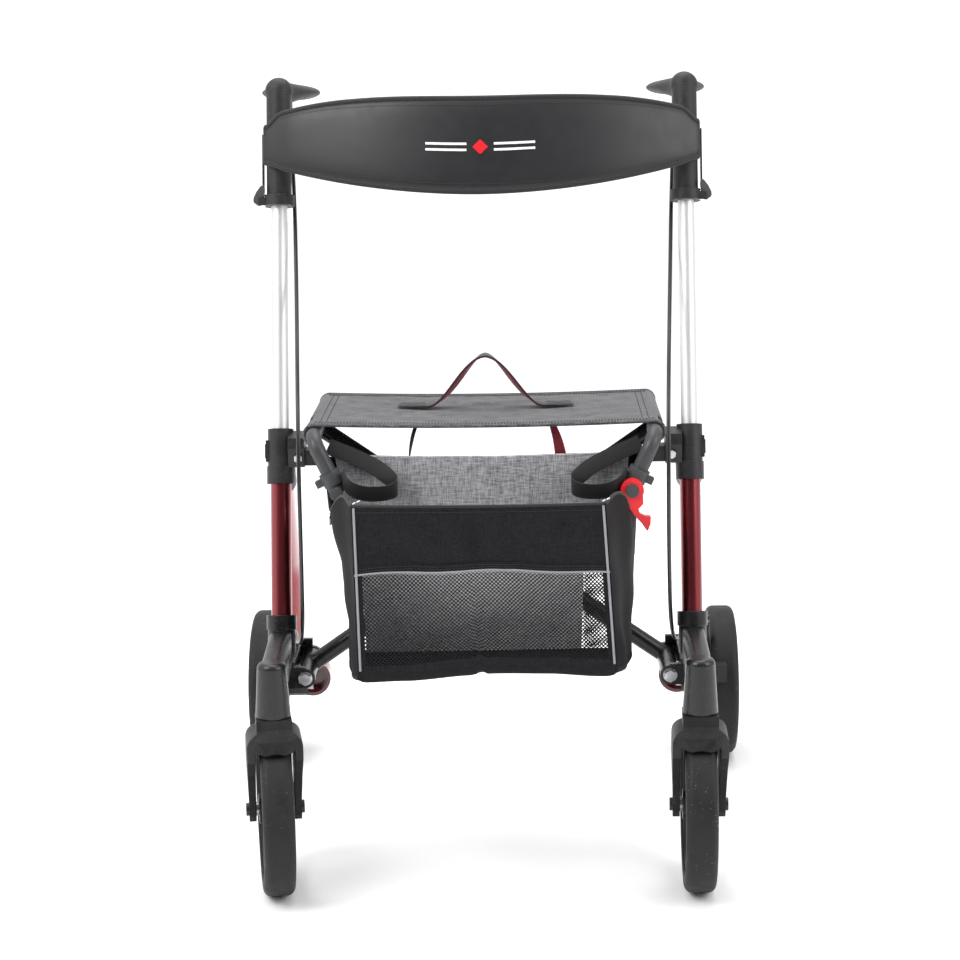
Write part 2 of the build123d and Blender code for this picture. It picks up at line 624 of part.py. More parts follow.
def main():
    os.makedirs("parts", exist_ok=True)
    side_pieces = {
        "lower_tube": lower_tube(),
        "upper_tube": upper_tube(),
        "height_collar": height_collar(),
        "height_button": height_button(),
        "front_head": front_head(),
        "stem_bearings": stem_bearings(),
        "rear_leg": rear_leg(),
        "rear_bracket": rear_bracket(),
        "rear_axle": rear_axle(),
        "kerb_pedal": kerb_pedal(),
        "brake_shoe": brake_shoe(),
        "side_bolts": side_bolts(),
        "brake_cable": brake_cable(),
        "grip": grip(),
        "brake_lever": brake_lever(),
        "clamp_lever": clamp_lever(),
        "backrest": backrest(),
        "rear_tyre": Pos(REAR_WHEEL_X, REAR_AXLE_Y, WHEEL_R) * tyre(),
        "rear_rim": Pos(REAR_WHEEL_X, REAR_AXLE_Y, WHEEL_R) * rim(),
        "seat_rail": seat_rail(),
        "rail_clamp": rail_clamp(),
        "seat_fabric": seat_half(),
        "fold_strap": fold_strap(),
    }
    for name, piece in side_pieces.items():
        both_sides(name, piece)
    wheel_centre = Pos(0, TRAIL, WHEEL_R)
    for side in ("left", "right"):
        save(f"{side}_caster_fork", placed_caster(caster_fork(), side))
        save(f"{side}_front_axle", placed_caster(wheel_centre * front_axle(), side))
        save(f"{side}_front_tyre", placed_caster(wheel_centre * tyre(), side))
        save(f"{side}_front_rim", placed_caster(wheel_centre * rim(), side))
    save("cross_tube_a", cross_tube(1, CROSS_A_Y))
    save("cross_tube_b", cross_tube(-1, CROSS_B_Y))
    save("cross_bolt", cross_bolt())
    save("fold_hook", fold_hook())
    save("bag", bag())
    save("bag_straps", bag_straps())


main()
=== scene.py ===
import json
from math import cos, exp, hypot, pi, radians, sin, sqrt

import bpy
from mathutils import Matrix, Vector


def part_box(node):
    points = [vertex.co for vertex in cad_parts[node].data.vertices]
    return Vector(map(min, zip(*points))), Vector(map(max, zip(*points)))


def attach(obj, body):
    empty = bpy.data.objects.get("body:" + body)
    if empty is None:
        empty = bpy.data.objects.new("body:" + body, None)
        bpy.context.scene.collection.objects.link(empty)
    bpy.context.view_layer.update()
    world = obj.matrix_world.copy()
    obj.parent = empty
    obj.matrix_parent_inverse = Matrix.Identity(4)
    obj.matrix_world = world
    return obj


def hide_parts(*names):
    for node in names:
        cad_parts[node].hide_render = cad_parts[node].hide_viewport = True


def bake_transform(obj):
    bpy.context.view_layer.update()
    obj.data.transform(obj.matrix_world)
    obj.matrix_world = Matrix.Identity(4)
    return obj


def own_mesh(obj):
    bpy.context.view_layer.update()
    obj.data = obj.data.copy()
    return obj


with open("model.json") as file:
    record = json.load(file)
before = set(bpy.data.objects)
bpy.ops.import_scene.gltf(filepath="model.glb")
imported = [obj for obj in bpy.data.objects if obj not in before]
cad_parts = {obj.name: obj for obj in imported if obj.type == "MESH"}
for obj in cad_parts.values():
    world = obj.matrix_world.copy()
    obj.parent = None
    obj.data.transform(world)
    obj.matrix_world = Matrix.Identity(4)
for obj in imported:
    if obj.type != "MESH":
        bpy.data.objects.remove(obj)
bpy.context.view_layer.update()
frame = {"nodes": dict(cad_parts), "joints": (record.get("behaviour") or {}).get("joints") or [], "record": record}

MM = 0.001
NODES = frame["nodes"]
JOINTS = {joint["name"]: joint for joint in frame["joints"]}
SIDES = {"left": -1, "right": 1}
LEAN = radians(14.3)
SHARP_ANGLE = radians(50)

# ---- mesh helpers, all in millimetres


def in_scene(name, data):
    """A new object with this data, placed in the scene."""
    obj = bpy.data.objects.new(name, data)
    bpy.context.scene.collection.objects.link(obj)
    return obj


def piece(name, points, faces, material, body=None, slot=None):
    """A mesh object from points in millimetres with its material, riding on a body if one is given."""
    mesh = bpy.data.meshes.new(name)
    mesh.from_pydata([tuple(c * MM for c in p) for p in points], [], faces)
    mesh.validate()
    mesh.shade_smooth()
    mesh.set_sharp_from_angle(angle=SHARP_ANGLE)
    mesh.materials.append(material)
    obj = in_scene(name, mesh)
    if body:
        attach(obj, body)
    return obj


def grid_faces(rows, columns, wrap=False):
    """Quads over rows of points, each row joined to itself if wrap is true."""
    faces = []
    last = columns if wrap else columns - 1
    for r in range(rows - 1):
        for c in range(last):
            a = r * columns + c
            b = r * columns + (c + 1) % columns
            faces.append((a, b, b + columns, a + columns))
    return faces


def cloth(rows, thickness):
    """Points and faces of a thin closed sheet whose middle is the grid of points in rows."""
    count, width = len(rows), len(rows[0])
    front, back = [], []
    for r in range(count):
        for c in range(width):
            along = rows[min(r + 1, count - 1)][c] - rows[max(r - 1, 0)][c]
            across = rows[r][min(c + 1, width - 1)] - rows[r][max(c - 1, 0)]
            normal = along.cross(across)
            normal.normalize()
            front.append(rows[r][c] + normal * thickness / 2)
            back.append(rows[r][c] - normal * thickness / 2)
    size = count * width
    faces = grid_faces(count, width)
    faces += [tuple(size + i for i in reversed(f)) for f in grid_faces(count, width)]
    rim = list(range(width)) + [r * width + width - 1 for r in range(1, count)]
    rim += [(count - 1) * width + c for c in range(width - 2, -1, -1)]
    rim += [r * width for r in range(count - 2, 0, -1)]
    for a, b in zip(rim, rim[1:] + rim[:1]):
        faces.append((b, a, a + size, b + size))
    return front + back, faces


def frames_along(points, closed=False):
    """A direction and two cross directions at each point, turning as little as they can."""
    count = len(points)
    tangents = []
    for i in range(count):
        ahead = points[(i + 1) % count] if closed else points[min(i + 1, count - 1)]
        behind = points[i - 1] if closed else points[max(i - 1, 0)]
        tangents.append((ahead - behind).normalized())
    side = tangents[0].orthogonal().normalized()
    result = []
    for t in tangents:
        side = (side - t * side.dot(t)).normalized()
        result.append((t, side, t.cross(side)))
    return result


def tube(points, radius, sides=10, closed=False):
    """Points and faces of a round tube along points."""
    out = []
    for p, (_, a, b) in zip(points, frames_along(points, closed)):
        for k in range(sides):
            angle = 2 * pi * k / sides
            out.append(p + (a * cos(angle) + b * sin(angle)) * radius)
    faces = grid_faces(len(points), sides, wrap=True)
    if closed:
        last = (len(points) - 1) * sides
        faces += [(last + k, last + (k + 1) % sides, (k + 1) % sides, k) for k in range(sides)]
    else:
        faces.append(tuple(reversed(range(sides))))
        faces.append(tuple(range((len(points) - 1) * sides, len(points) * sides)))
    return out, faces


WEBBING_SECTION = ((-0.5, -0.3), (-0.46, -0.5), (0.46, -0.5), (0.5, -0.3),
                   (0.5, 0.3), (0.46, 0.5), (-0.46, 0.5), (-0.5, 0.3))


def ribbon(points, across, width, thickness):
    """Points and faces of flat webbing along points, its width along across, its edges rounded."""
    out = []
    for i, p in enumerate(points):
        t = (points[min(i + 1, len(points) - 1)] - points[max(i - 1, 0)]).normalized()
        w = across[i] if isinstance(across, list) else across
        w = (w - t * w.dot(t)).normalized()
        n = t.cross(w)
        out += [p + w * width * x + n * thickness * y for x, y in WEBBING_SECTION]
    count = len(WEBBING_SECTION)
    faces = grid_faces(len(points), count, wrap=True)
    faces.append(tuple(reversed(range(count))))
    faces.append(tuple(range((len(points) - 1) * count, len(points) * count)))
    return out, faces


def joined(parts):
    """Several (points, faces) pairs as one."""
    points, faces = [], []
    for p, f in parts:
        start = len(points)
        points += p
        faces += [tuple(start + i for i in face) for face in f]
    return points, faces


def curve_through(points, steps=8):
    """A smooth line through given points (Catmull-Rom), in millimetres."""
    points = [Vector(p) for p in points]
    ends = [points[0] * 2 - points[1]] + points + [points[-1] * 2 - points[-2]]
    line = []
    for a, b, c, d in zip(ends, ends[1:], ends[2:], ends[3:]):
        for k in range(steps):
            t = k / steps
            line.append(((b * 2) + (c - a) * t + (a * 2 - b * 5 + c * 4 - d) * t * t
                         + (b * 3 - a - c * 3 + d) * t ** 3) / 2)
    line.append(points[-1].copy())
    return line


def evenly(points, pitch):
    """Points at an even pitch along a line of points."""
    lengths = [(b - a).length for a, b in zip(points, points[1:])]
    total = sum(lengths)
    count = max(2, int(total / pitch))
    out, i, done = [], 0, 0.0
    for k in range(count + 1):
        want = total * k / count
        while i < len(lengths) - 1 and done + lengths[i] < want:
            done += lengths[i]
            i += 1
        share = (want - done) / max(lengths[i], 1e-9)
        out.append(points[i].lerp(points[i + 1], min(max(share, 0.0), 1.0)))
    return out


def stitches(line, pitch=3.4, length=2.3, radius=0.38):
    """A row of thread stitches, each a small spindle, along a line of points."""
    parts = []
    spots = evenly(line, pitch)
    for a, b in zip(spots, spots[1:]):
        along = (b - a).normalized()
        middle = (a + b) / 2
        spine = [middle + along * length * t for t in (-0.5, -0.28, 0.28, 0.5)]
        points, faces = [], grid_faces(4, 6, wrap=True)
        for p, r, (_, u, v) in zip(spine, (0.3, 1, 1, 0.3), frames_along(spine)):
            for k in range(6):
                points.append(p + (u * cos(pi * k / 3) + v * sin(pi * k / 3)) * radius * r)
        faces += [(5, 4, 3, 2, 1, 0), (18, 19, 20, 21, 22, 23)]
        parts.append((points, faces))
    return joined(parts)


def ease(t):
    """0 to 1 with level ends."""
    t = min(max(t, 0.0), 1.0)
    return t * t * (3 - 2 * t)


def bell(x):
    """1 at 0, falling smoothly to nothing on both sides."""
    return exp(-x * x)


# ---- materials


class Shader:
    """A small builder of node materials: each call adds a node and returns its output."""

    def __init__(self, name, color, rough, metallic=0.0, **sockets):
        self.mat = bpy.data.materials.new(name)
        self.mat.use_nodes = True
        self.tree = self.mat.node_tree
        self.bsdf = self.tree.nodes["Principled BSDF"]
        self.set("Base Color", (*color, 1.0))
        self.set("Roughness", rough)
        self.set("Metallic", metallic)
        for key, value in sockets.items():
            self.set(key.replace("_", " "), value)
        self.where = self.tree.nodes.new("ShaderNodeTexCoord").outputs["Object"]

    def set(self, socket, value):
        self.bsdf.inputs[socket].default_value = value

    def link(self, output, socket):
        self.tree.links.new(output, self.bsdf.inputs[socket])

    def node(self, kind, output, inputs=None, **settings):
        made = self.tree.nodes.new(kind)
        for key, value in settings.items():
            setattr(made, key, value)
        for key, value in (inputs or {}).items():
            if isinstance(value, bpy.types.NodeSocket):
                self.tree.links.new(value, made.inputs[key])
            else:
                made.inputs[key].default_value = value
        return made.outputs[output]

    def scaled(self, x, y, z):
        return self.node("ShaderNodeMapping", "Vector", {"Vector": self.where, "Scale": (x, y, z)})

    def noise(self, scale, detail=3.0, vector=None, rough=0.5):
        return self.node("ShaderNodeTexNoise", "Fac", {
            "Vector": vector or self.where, "Scale": scale, "Detail": detail, "Roughness": rough})

    def waves(self, scale, direction, distortion):
        return self.node("ShaderNodeTexWave", "Fac", {
            "Vector": self.where, "Scale": scale, "Distortion": distortion, "Detail": 1.0,
            "Detail Scale": 4.0}, bands_direction=direction, wave_profile="SIN")

    def math(self, operation, a, b=0.0):
        return self.node("ShaderNodeMath", "Value", {0: a, 1: b}, operation=operation)

    def span(self, fac, low, high, from_low=0.3, from_high=0.7):
        """fac moved from one span to another, and held inside it."""
        return self.node("ShaderNodeMapRange", "Result", {
            "Value": fac, "From Min": from_low, "From Max": from_high, "To Min": low, "To Max": high})

    def blend(self, fac, first, second):
        return self.node("ShaderNodeMix", 2, {0: fac, 6: (*first, 1.0) if isinstance(first, tuple) else first,
                                              7: (*second, 1.0) if isinstance(second, tuple) else second},
                         data_type="RGBA")

    def bump(self, height, distance, strength=1.0, edge=0.0):
        inputs = {"Height": height, "Distance": distance * MM, "Strength": strength}
        if edge:
            inputs["Normal"] = self.node("ShaderNodeBevel", "Normal", {"Radius": edge * MM}, samples=4)
        self.link(self.node("ShaderNodeBump", "Normal", inputs), "Normal")


def anodised(name, color, dark, rough, coat=0.0):
    """Drawn and anodised tube: fine lines along it and a slow change of shade."""
    m = Shader(name, color, rough, 1.0, Coat_Weight=coat, Coat_Roughness=0.2)
    lines = m.noise(1.0, 2.0, m.scaled(2600, 2600, 40))
    slow = m.noise(9.0, 2.0)
    m.link(m.blend(m.span(slow, 0.0, 0.5), color, dark), "Base Color")
    m.link(m.span(lines, rough - 0.03, rough + 0.05), "Roughness")
    m.bump(lines, 0.004, 0.12)
    return m.mat


def coated(name, color, rough, grain=900.0, depth=0.05, edge=0.8, worn=(0.05, 0.05, 0.052), shine=0.32):
    """Powder coat or moulded plastic: a fine orange-peel grain, a little dust and softly rounded edges."""
    m = Shader(name, color, rough, Specular_IOR_Level=shine)
    fine = m.noise(grain, 2.0)
    slow = m.noise(38.0, 4.0, rough=0.6)
    dust = m.math("MULTIPLY", m.span(m.noise(240.0, 3.0), 0.0, 1.0, 0.62, 0.74), 0.07)
    m.link(m.blend(dust, m.blend(m.span(slow, 0.0, 0.35), color, worn), (0.3, 0.3, 0.3)), "Base Color")
    m.link(m.span(slow, rough - 0.07, rough + 0.1), "Roughness")
    m.bump(fine, depth, 0.5, edge)
    return m.mat


def glossy(name, color, rough, coat, edge=0.6):
    """Lacquer or shiny plastic with faint flow marks."""
    m = Shader(name, color, rough, Coat_Weight=coat, Coat_Roughness=0.12)
    slow = m.noise(60.0, 3.0)
    m.link(m.blend(m.span(slow, 0.0, 0.3), color, tuple(c * 0.6 for c in color)), "Base Color")
    m.bump(m.noise(500.0, 2.0), 0.03, 0.3, edge)
    return m.mat


def steel(name):
    """Zinc-plated steel with faint turned lines and patchy brightness."""
    m = Shader(name, (0.62, 0.63, 0.66), 0.26, 1.0)
    patches = m.noise(120.0, 4.0)
    m.link(m.blend(m.span(patches, 0.0, 1.0), (0.70, 0.71, 0.74), (0.42, 0.42, 0.44)), "Base Color")
    m.link(m.span(patches, 0.2, 0.42), "Roughness")
    m.bump(m.noise(1800.0, 2.0), 0.02, 0.3, 0.4)
    return m.mat


def tyre(name):
    """Solid tyre: matt, a little browned on its tread, with pale grit pressed into it."""
    m = Shader(name, (0.01, 0.01, 0.01), 0.55, Specular_IOR_Level=0.3)
    slow = m.noise(45.0, 5.0, rough=0.65)
    grit = m.span(m.noise(520.0, 2.0), 0.0, 1.0, 0.69, 0.74)
    grit = m.math("MULTIPLY", grit, m.span(m.noise(28.0, 3.0), 0.0, 0.8, 0.45, 0.65))
    shade = m.blend(m.span(slow, 0.0, 1.0), (0.007, 0.007, 0.007), (0.019, 0.018, 0.0175))
    m.link(m.blend(grit, shade, (0.42, 0.40, 0.38)), "Base Color")
    m.link(m.span(slow, 0.5, 0.75), "Roughness")
    m.bump(m.math("ADD", m.noise(420.0, 3.0), grit), 0.12, 0.6)
    return m.mat


def woven(name, dark, light, pitch, rough=0.85, sheen=0.15, streak=0.0, depth=0.12):
    """Plain weave: threads two ways at the pitch in millimetres, with slubs that lighten some of them."""
    m = Shader(name, light, rough, Sheen_Weight=sheen, Sheen_Roughness=0.45, Specular_IOR_Level=0.18)
    threads = 1000.0 / pitch / 2
    warp, weft, depth_way = (m.waves(threads / pi, way, distortion=0.6) for way in "XZY")
    cross = m.math("MAXIMUM", m.math("MAXIMUM", warp, weft), m.math("MULTIPLY", depth_way, 0.9))
    slubs = m.noise(1.0, 3.0, m.scaled(threads * 0.9, threads * 0.9, threads * 0.10))
    cross_slubs = m.noise(1.0, 3.0, m.scaled(threads * 0.10, threads * 0.9, threads * 0.9))
    tone = m.math("ADD", m.math("MULTIPLY", slubs, 0.5), m.math("MULTIPLY", cross_slubs, 0.5))
    shade = m.span(tone, 0.0, 1.0, 0.5 - 0.10 - streak * 0.02, 0.5 + 0.10 + streak * 0.02)
    mixed = m.math("MULTIPLY", shade, m.span(cross, 0.65, 1.0, 0.0, 1.0))
    m.link(m.blend(mixed, dark, light), "Base Color")
    m.bump(cross, depth, 0.6)
    return m.mat


def webbing(name, color, pitch=1.5):
    """Narrow webbing with ribs across it and a darker thread between them."""
    m = Shader(name, color, 0.7, Sheen_Weight=0.12, Sheen_Roughness=0.5)
    per_metre = 1000.0 / pitch / 6.28
    ribs = m.math("MULTIPLY", *(m.waves(per_metre, way, distortion=0.4) for way in "XZ"))
    dark = tuple(c * 0.45 for c in color)
    m.link(m.blend(m.span(ribs, 0.0, 1.0, 0.1, 0.7), dark, color), "Base Color")
    m.bump(ribs, 0.2, 0.7)
    return m.mat


def coated_fabric(name, color, rough):
    """Smooth coated foam fabric with a very fine knit under the surface and a slow satin change."""
    m = Shader(name, color, rough, Sheen_Weight=0.04, Sheen_Roughness=0.4, Specular_IOR_Level=0.42)
    slow = m.noise(14.0, 3.0)
    knit = m.math("MULTIPLY", *(m.waves(230.0, way, distortion=0.8) for way in "XZ"))
    m.link(m.blend(m.span(slow, 0.0, 0.6), color, tuple(c * 1.35 for c in color)), "Base Color")
    m.link(m.span(m.noise(70.0, 4.0), rough - 0.03, rough + 0.04), "Roughness")
    m.bump(m.math("ADD", m.math("MULTIPLY", knit, 0.4), m.noise(900.0, 2.0)), 0.06, 0.35)
    return m.mat


MATERIALS = {
    "red_anodised": anodised("red_anodised", (0.27, 0.026, 0.034), (0.20, 0.018, 0.025), 0.3, coat=1.0),
    "silver_anodised": anodised("silver_anodised", (0.76, 0.76, 0.765), (0.68, 0.68, 0.69), 0.5),
    "black_plastic": coated("black_plastic", (0.017, 0.017, 0.0185), 0.38),
    "dark_plastic": coated("dark_plastic", (0.014, 0.014, 0.0155), 0.45),
    "black_casting": coated("black_casting", (0.008, 0.008, 0.009), 0.27, edge=1.6, worn=(0.03, 0.03, 0.031),
                            shine=0.45),
    "gray_casting": coated("gray_casting", (0.007, 0.0073, 0.008), 0.5, grain=1300.0, depth=0.07, edge=2.0,
                           shine=0.2),
    "bearing_steel": steel("bearing_steel"),
    "zinc_steel": steel("zinc_steel"),
    "red_gloss": glossy("red_gloss", (0.10, 0.008, 0.012), 0.2, 0.8),
    "cable_sheath": glossy("cable_sheath", (0.008, 0.008, 0.009), 0.34, 0.2, edge=0.0),
    "black_rubber": coated("black_rubber", (0.014, 0.014, 0.0155), 0.5, grain=1500.0, depth=0.08, edge=1.5),
    "gray_plastic": coated("gray_plastic", (0.060, 0.063, 0.066), 0.5, edge=1.0),
    "padded_fabric": coated_fabric("padded_fabric", (0.014, 0.0142, 0.0155), 0.4),
    "tyre_rubber": tyre("tyre_rubber"),
    "rim_plastic": coated("rim_plastic", (0.009, 0.009, 0.010), 0.36, edge=1.0),
    "gray_tube": coated("gray_tube", (0.055, 0.056, 0.059), 0.34, grain=700.0, edge=0.0),
    "black_tube": coated("black_tube", (0.008, 0.008, 0.009), 0.27, grain=700.0, edge=0.0,
                         worn=(0.03, 0.03, 0.03)),
    "seat_cloth": woven("seat_cloth", (0.035, 0.035, 0.038), (0.15, 0.15, 0.16), 0.7, sheen=0.15),
    "webbing": webbing("webbing", (0.011, 0.011, 0.0125)),
    "red_plastic": glossy("red_plastic", (0.85, 0.009, 0.018), 0.4, 0.1),
    "bag_nylon": woven("bag_nylon", (0.004, 0.004, 0.005), (0.012, 0.0115, 0.0135), 0.45,
                       rough=0.7, sheen=0.0, depth=0.05),
}
SPACER_REACH = 24.0


def axle_finish(name, node):
    """Zinc-plated spacers beside the hub and painted heads outside the fork, by distance from the middle."""
    low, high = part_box(node)
    centre = NODES[node].matrix_world.inverted() @ ((low + high) / 2)
    m = Shader(name, (0.62, 0.63, 0.66), 0.28)
    away = m.node("ShaderNodeVectorMath", "Value", {0: m.where, 1: tuple(centre)}, operation="DISTANCE")
    outside = m.math("GREATER_THAN", away, SPACER_REACH * MM)
    patches = m.noise(140.0, 4.0)
    plated = m.blend(m.span(patches, 0.0, 1.0), (0.70, 0.71, 0.74), (0.42, 0.42, 0.44))
    m.link(m.blend(outside, plated, (0.012, 0.012, 0.013)), "Base Color")
    m.link(m.math("SUBTRACT", 1.0, outside), "Metallic")
    m.bump(m.noise(1200.0, 2.0), 0.03, 0.4, 0.5)
    return m.mat


BAG_NYLON, WEBBING = MATERIALS["bag_nylon"], MATERIALS["webbing"]
RED_WEBBING = webbing("red_webbing", (0.36, 0.012, 0.03))
MELANGE = woven("melange", (0.20, 0.20, 0.21), (0.60, 0.60, 0.63), 0.6, sheen=0.3, streak=1.0)
# painted light: a brighter copy of the melange for the lower lining, standing in for light inside the dim bag
PAINTED_LIGHT_MELANGE = woven("painted_light_melange", (0.60, 0.60, 0.62), (0.95, 0.95, 0.95), 0.6, sheen=0.3, streak=1.0)
PIPING = coated("piping", (0.27, 0.28, 0.30), 0.4, grain=1500.0, edge=0.0, worn=(0.2, 0.2, 0.21))
THREAD = coated("thread", (0.03, 0.03, 0.032), 0.7, grain=2500.0, edge=0.0)
WHITE_PRINT = coated("white_print", (0.85, 0.85, 0.85), 0.5, edge=0.0, worn=(0.7, 0.7, 0.7))
RED_PRINT = coated("red_print", (0.7, 0.01, 0.02), 0.45, edge=0.0, worn=(0.5, 0.01, 0.02))



def paint(node, material):
    """Give a CAD node one material in place of its own."""
    NODES[node].data.materials.clear()
    NODES[node].data.materials.append(material)


for part in frame["record"]["subparts"]:
    paint(part["node"], MATERIALS[part["material_slot"]])
for side in SIDES:
    axle = f"{side}_front_axle"
    paint(axle, axle_finish(f"{axle}_finish", axle))


# ---- backrest band, half on each side


def band_place(side, x, y, z):
    """A point given about the neck's axis, x outwards, y back and z up the lean, as a point in space."""
    pivot = Vector(JOINTS[f"{side}_backrest_swing"]["pos_m"]) / MM
    return pivot + Vector((SIDES[side] * x, y * cos(LEAN) + z * sin(LEAN), z * cos(LEAN) - y * sin(LEAN)))


# the band's half length and how far its arc stands out, then its turn round the neck in degrees
BAND_HALF = 238.0
BAND_BOW = 79.0
BAND_ARC_R = 529.6
BAND_STEPS = 48
WRAP_R = 20.0
WRAP_FROM = -62
WRAP_TO = -46
WRAP_STEP = 4
# its edges above and below the neck's pivot, and how much they close at the rounded end
BAND_TOP = 37.7
BAND_LOW = -69.3
TOP_RISE = 3.0
TOP_FALL = 6.9
LOW_RISE = 42.8
END_TOP = 11
END_LOW = 6
# its padding, which thins at the neck, its binding and its rows of stitches
BAND_RING = 26
BAND_PAD = 4.6
PAD_THINS = 1.8
BINDING_R = 3.3
END_BINDING_R = 3.0
STITCH_HEIGHT = 0.85
STITCH_OUT = 4.4
KEEPER_WIDTH = 13
# the printed mark: two lines, as heights from -1 to 1, and a diamond, as steps along the band and a height
MARK_LINES = ((-0.02, 0.03), (-0.15, -0.10))
MARK_SPAN = range(3, 13)
LINES_OUT = 5.1
DIAMOND_OUT = 5.2
DIAMOND_MIDDLE = -0.06
DIAMOND_LENGTH = 1.7
DIAMOND_HEIGHT = 0.16
DIAMOND_STEPS = 6
PRINT_THICK = 0.5


def band_line():
    """The band's middle line from the walker's centre to the neck and a little way round its outer side."""
    end = WRAP_R * cos(radians(WRAP_FROM))
    line = []
    for k in range(BAND_STEPS + 1):
        x = -BAND_HALF + (BAND_HALF + end) * k / BAND_STEPS
        line.append((x, BAND_ARC_R - BAND_BOW - sqrt(BAND_ARC_R ** 2 - (x + BAND_HALF) ** 2)))
    for degrees in range(WRAP_FROM + WRAP_STEP, WRAP_TO + 1, WRAP_STEP):
        line.append((WRAP_R * cos(radians(degrees)), WRAP_R * sin(radians(degrees))))
    return line


def band_shares(line):
    """How far along each point of the line is: 0 at the walker's centre, 1 in front of the neck."""
    lengths = [0.0]
    for a, b in zip(line, line[1:]):
        lengths.append(lengths[-1] + hypot(b[0] - a[0], b[1] - a[1]))
    neck = max(length for length, (x, _) in zip(lengths, line) if x < 0)
    return [length / neck for length in lengths]


def band_edges(share):
    """Lower and upper edge of the band, from its middle (0) to the neck (1) and its rounded end."""
    past = ease((share - 0.98) / 0.085)
    fall = min(max((share - 0.62) / 0.38, 0.0), 1.1) ** 2
    top = BAND_TOP + TOP_RISE * ease(share / 0.55) - TOP_FALL * fall - END_TOP * past
    low = BAND_LOW + LOW_RISE * min(share, 1.0) ** 1.9 + END_LOW * past
    return low, top


BAND_SHARES = band_shares(band_line())


def band_surface(side, line, i, height, out):
    """A point on the band's front: height from -1 to 1 between its edges, out in front of its middle."""
    x, y = line[i]
    ahead, behind = line[min(i + 1, len(line) - 1)], line[max(i - 1, 0)]
    along = hypot(ahead[0] - behind[0], ahead[1] - behind[1])
    nx, ny = (ahead[1] - behind[1]) / along, -(ahead[0] - behind[0]) / along
    low, top = band_edges(BAND_SHARES[i])
    z = (low + top) / 2 + height * (top - low) / 2
    return band_place(side, x + nx * out, y + ny * out, z)


def backrest(side):
    """Half of the band: its padded body, its binding and stitches, and the keeper strap down the neck."""
    line = band_line()
    count = len(line)
    body = f"{side}_backrest"
    points = []
    for i in range(count):
        pad = BAND_PAD - PAD_THINS * ease((BAND_SHARES[i] - 0.9) / 0.12)
        for k in range(BAND_RING):
            angle = 2 * pi * k / BAND_RING
            height = cos(angle)
            swell = abs(sin(angle)) ** 0.42 * (1 - 0.35 * abs(height) ** 6)
            out = pad * swell * (1 if sin(angle) > 0 else -1)
            points.append(band_surface(side, line, i, height, out))
    faces = grid_faces(count, BAND_RING, wrap=True)
    faces += [tuple(range(BAND_RING)), tuple(range((count - 1) * BAND_RING, count * BAND_RING))]
    band = piece(f"{side}_band", points, faces, MATERIALS["padded_fabric"], body, "padded_fabric")
    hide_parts(f"{side}_backrest")
    edges, threads = [], []
    for height in (-1, 1):
        rim = [band_surface(side, line, i, height, 0.0) for i in range(count)]
        edges.append(tube(rim, BINDING_R, 10))
        for out in (STITCH_OUT, -STITCH_OUT):
            row = [band_surface(side, line, i, height * STITCH_HEIGHT, out) for i in range(count - 7)]
            threads.append(stitches(row, 4.2, 2.8, 0.3))
    end = [band_surface(side, line, count - 1, h / 8, 0.0) for h in range(-8, 9)]
    edges.append(tube(end, END_BINDING_R, 10))
    piece(f"{side}_band_binding", *joined(edges), WEBBING, body, "webbing")
    piece(f"{side}_band_stitches", *joined(threads), THREAD, body, "webbing")
    keeper = [band_place(side, 18.6, 1.5, z) for z in (15, 0, -15, -30, -44)]
    across = band_place(side, 0, 1, 0) - band_place(side, 0, 0, 0)
    strap = ribbon(keeper, across, KEEPER_WIDTH, 1.6)
    piece(f"{side}_band_keeper", *strap, WEBBING, body, "webbing")
    band_mark(side, line)


def band_mark(side, line):
    """Plain printed mark at the band's middle: two thin lines broken by a small diamond."""
    bars = []
    for heights in MARK_LINES:
        rows = [[band_surface(side, line, i, z, LINES_OUT) for z in heights] for i in MARK_SPAN]
        bars.append(cloth(rows, PRINT_THICK))
    piece(f"{side}_band_lines", *joined(bars), WHITE_PRINT, f"{side}_backrest", "padded_fabric")
    rows = []
    for k in range(DIAMOND_STEPS + 1):
        share = k / DIAMOND_STEPS
        along = share * DIAMOND_LENGTH
        reach = DIAMOND_HEIGHT * (1 - share) + 0.002
        ends = []
        for height in (DIAMOND_MIDDLE - reach, DIAMOND_MIDDLE + reach):
            near, far = (band_surface(side, line, int(along) + i, height, DIAMOND_OUT) for i in (0, 1))
            ends.append(near.lerp(far, along - int(along)))
        rows.append([ends[0].lerp(ends[1], t / 4) for t in range(5)])
    piece(f"{side}_band_diamond", *cloth(rows, PRINT_THICK), RED_PRINT, f"{side}_backrest", "padded_fabric")


for side in SIDES:
    backrest(side)


# ---- seat halves and pull strap

SEAT_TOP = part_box("left_seat_fabric")[1].z / MM
SEAT_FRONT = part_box("left_seat_fabric")[0].y / MM - 3
SEAT_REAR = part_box("left_seat_fabric")[1].y / MM + 1
RAIL_X = JOINTS["seat_right_lift"]["pos_m"][0] / MM
RAIL_Z = JOINTS["seat_right_lift"]["pos_m"][2] / MM
# the cloth's radius round the rail, and where it is cut back to let the X tubes pass as they fold
RAIL_WRAP = 11.6
TUBE_Y = {"left": -106.0, "right": -134.0}
TUBE_NOTCH = 16.0
NOTCH_WRAP = 0.06
SEAT_COLUMNS = 28
SEAT_ROWS = 56
SEAT_SAG = 3.6
SEAT_THICK = 1.5
HEM_WIDTH = 14
HEM_THICK = 1.0
HEM_ROLL_R = 1.9
RAIL_SEAMS = (6, 13)
EDGE_SEAMS = (5, 12)
SEAT_STITCH = (3.6, 2.6, 0.42)


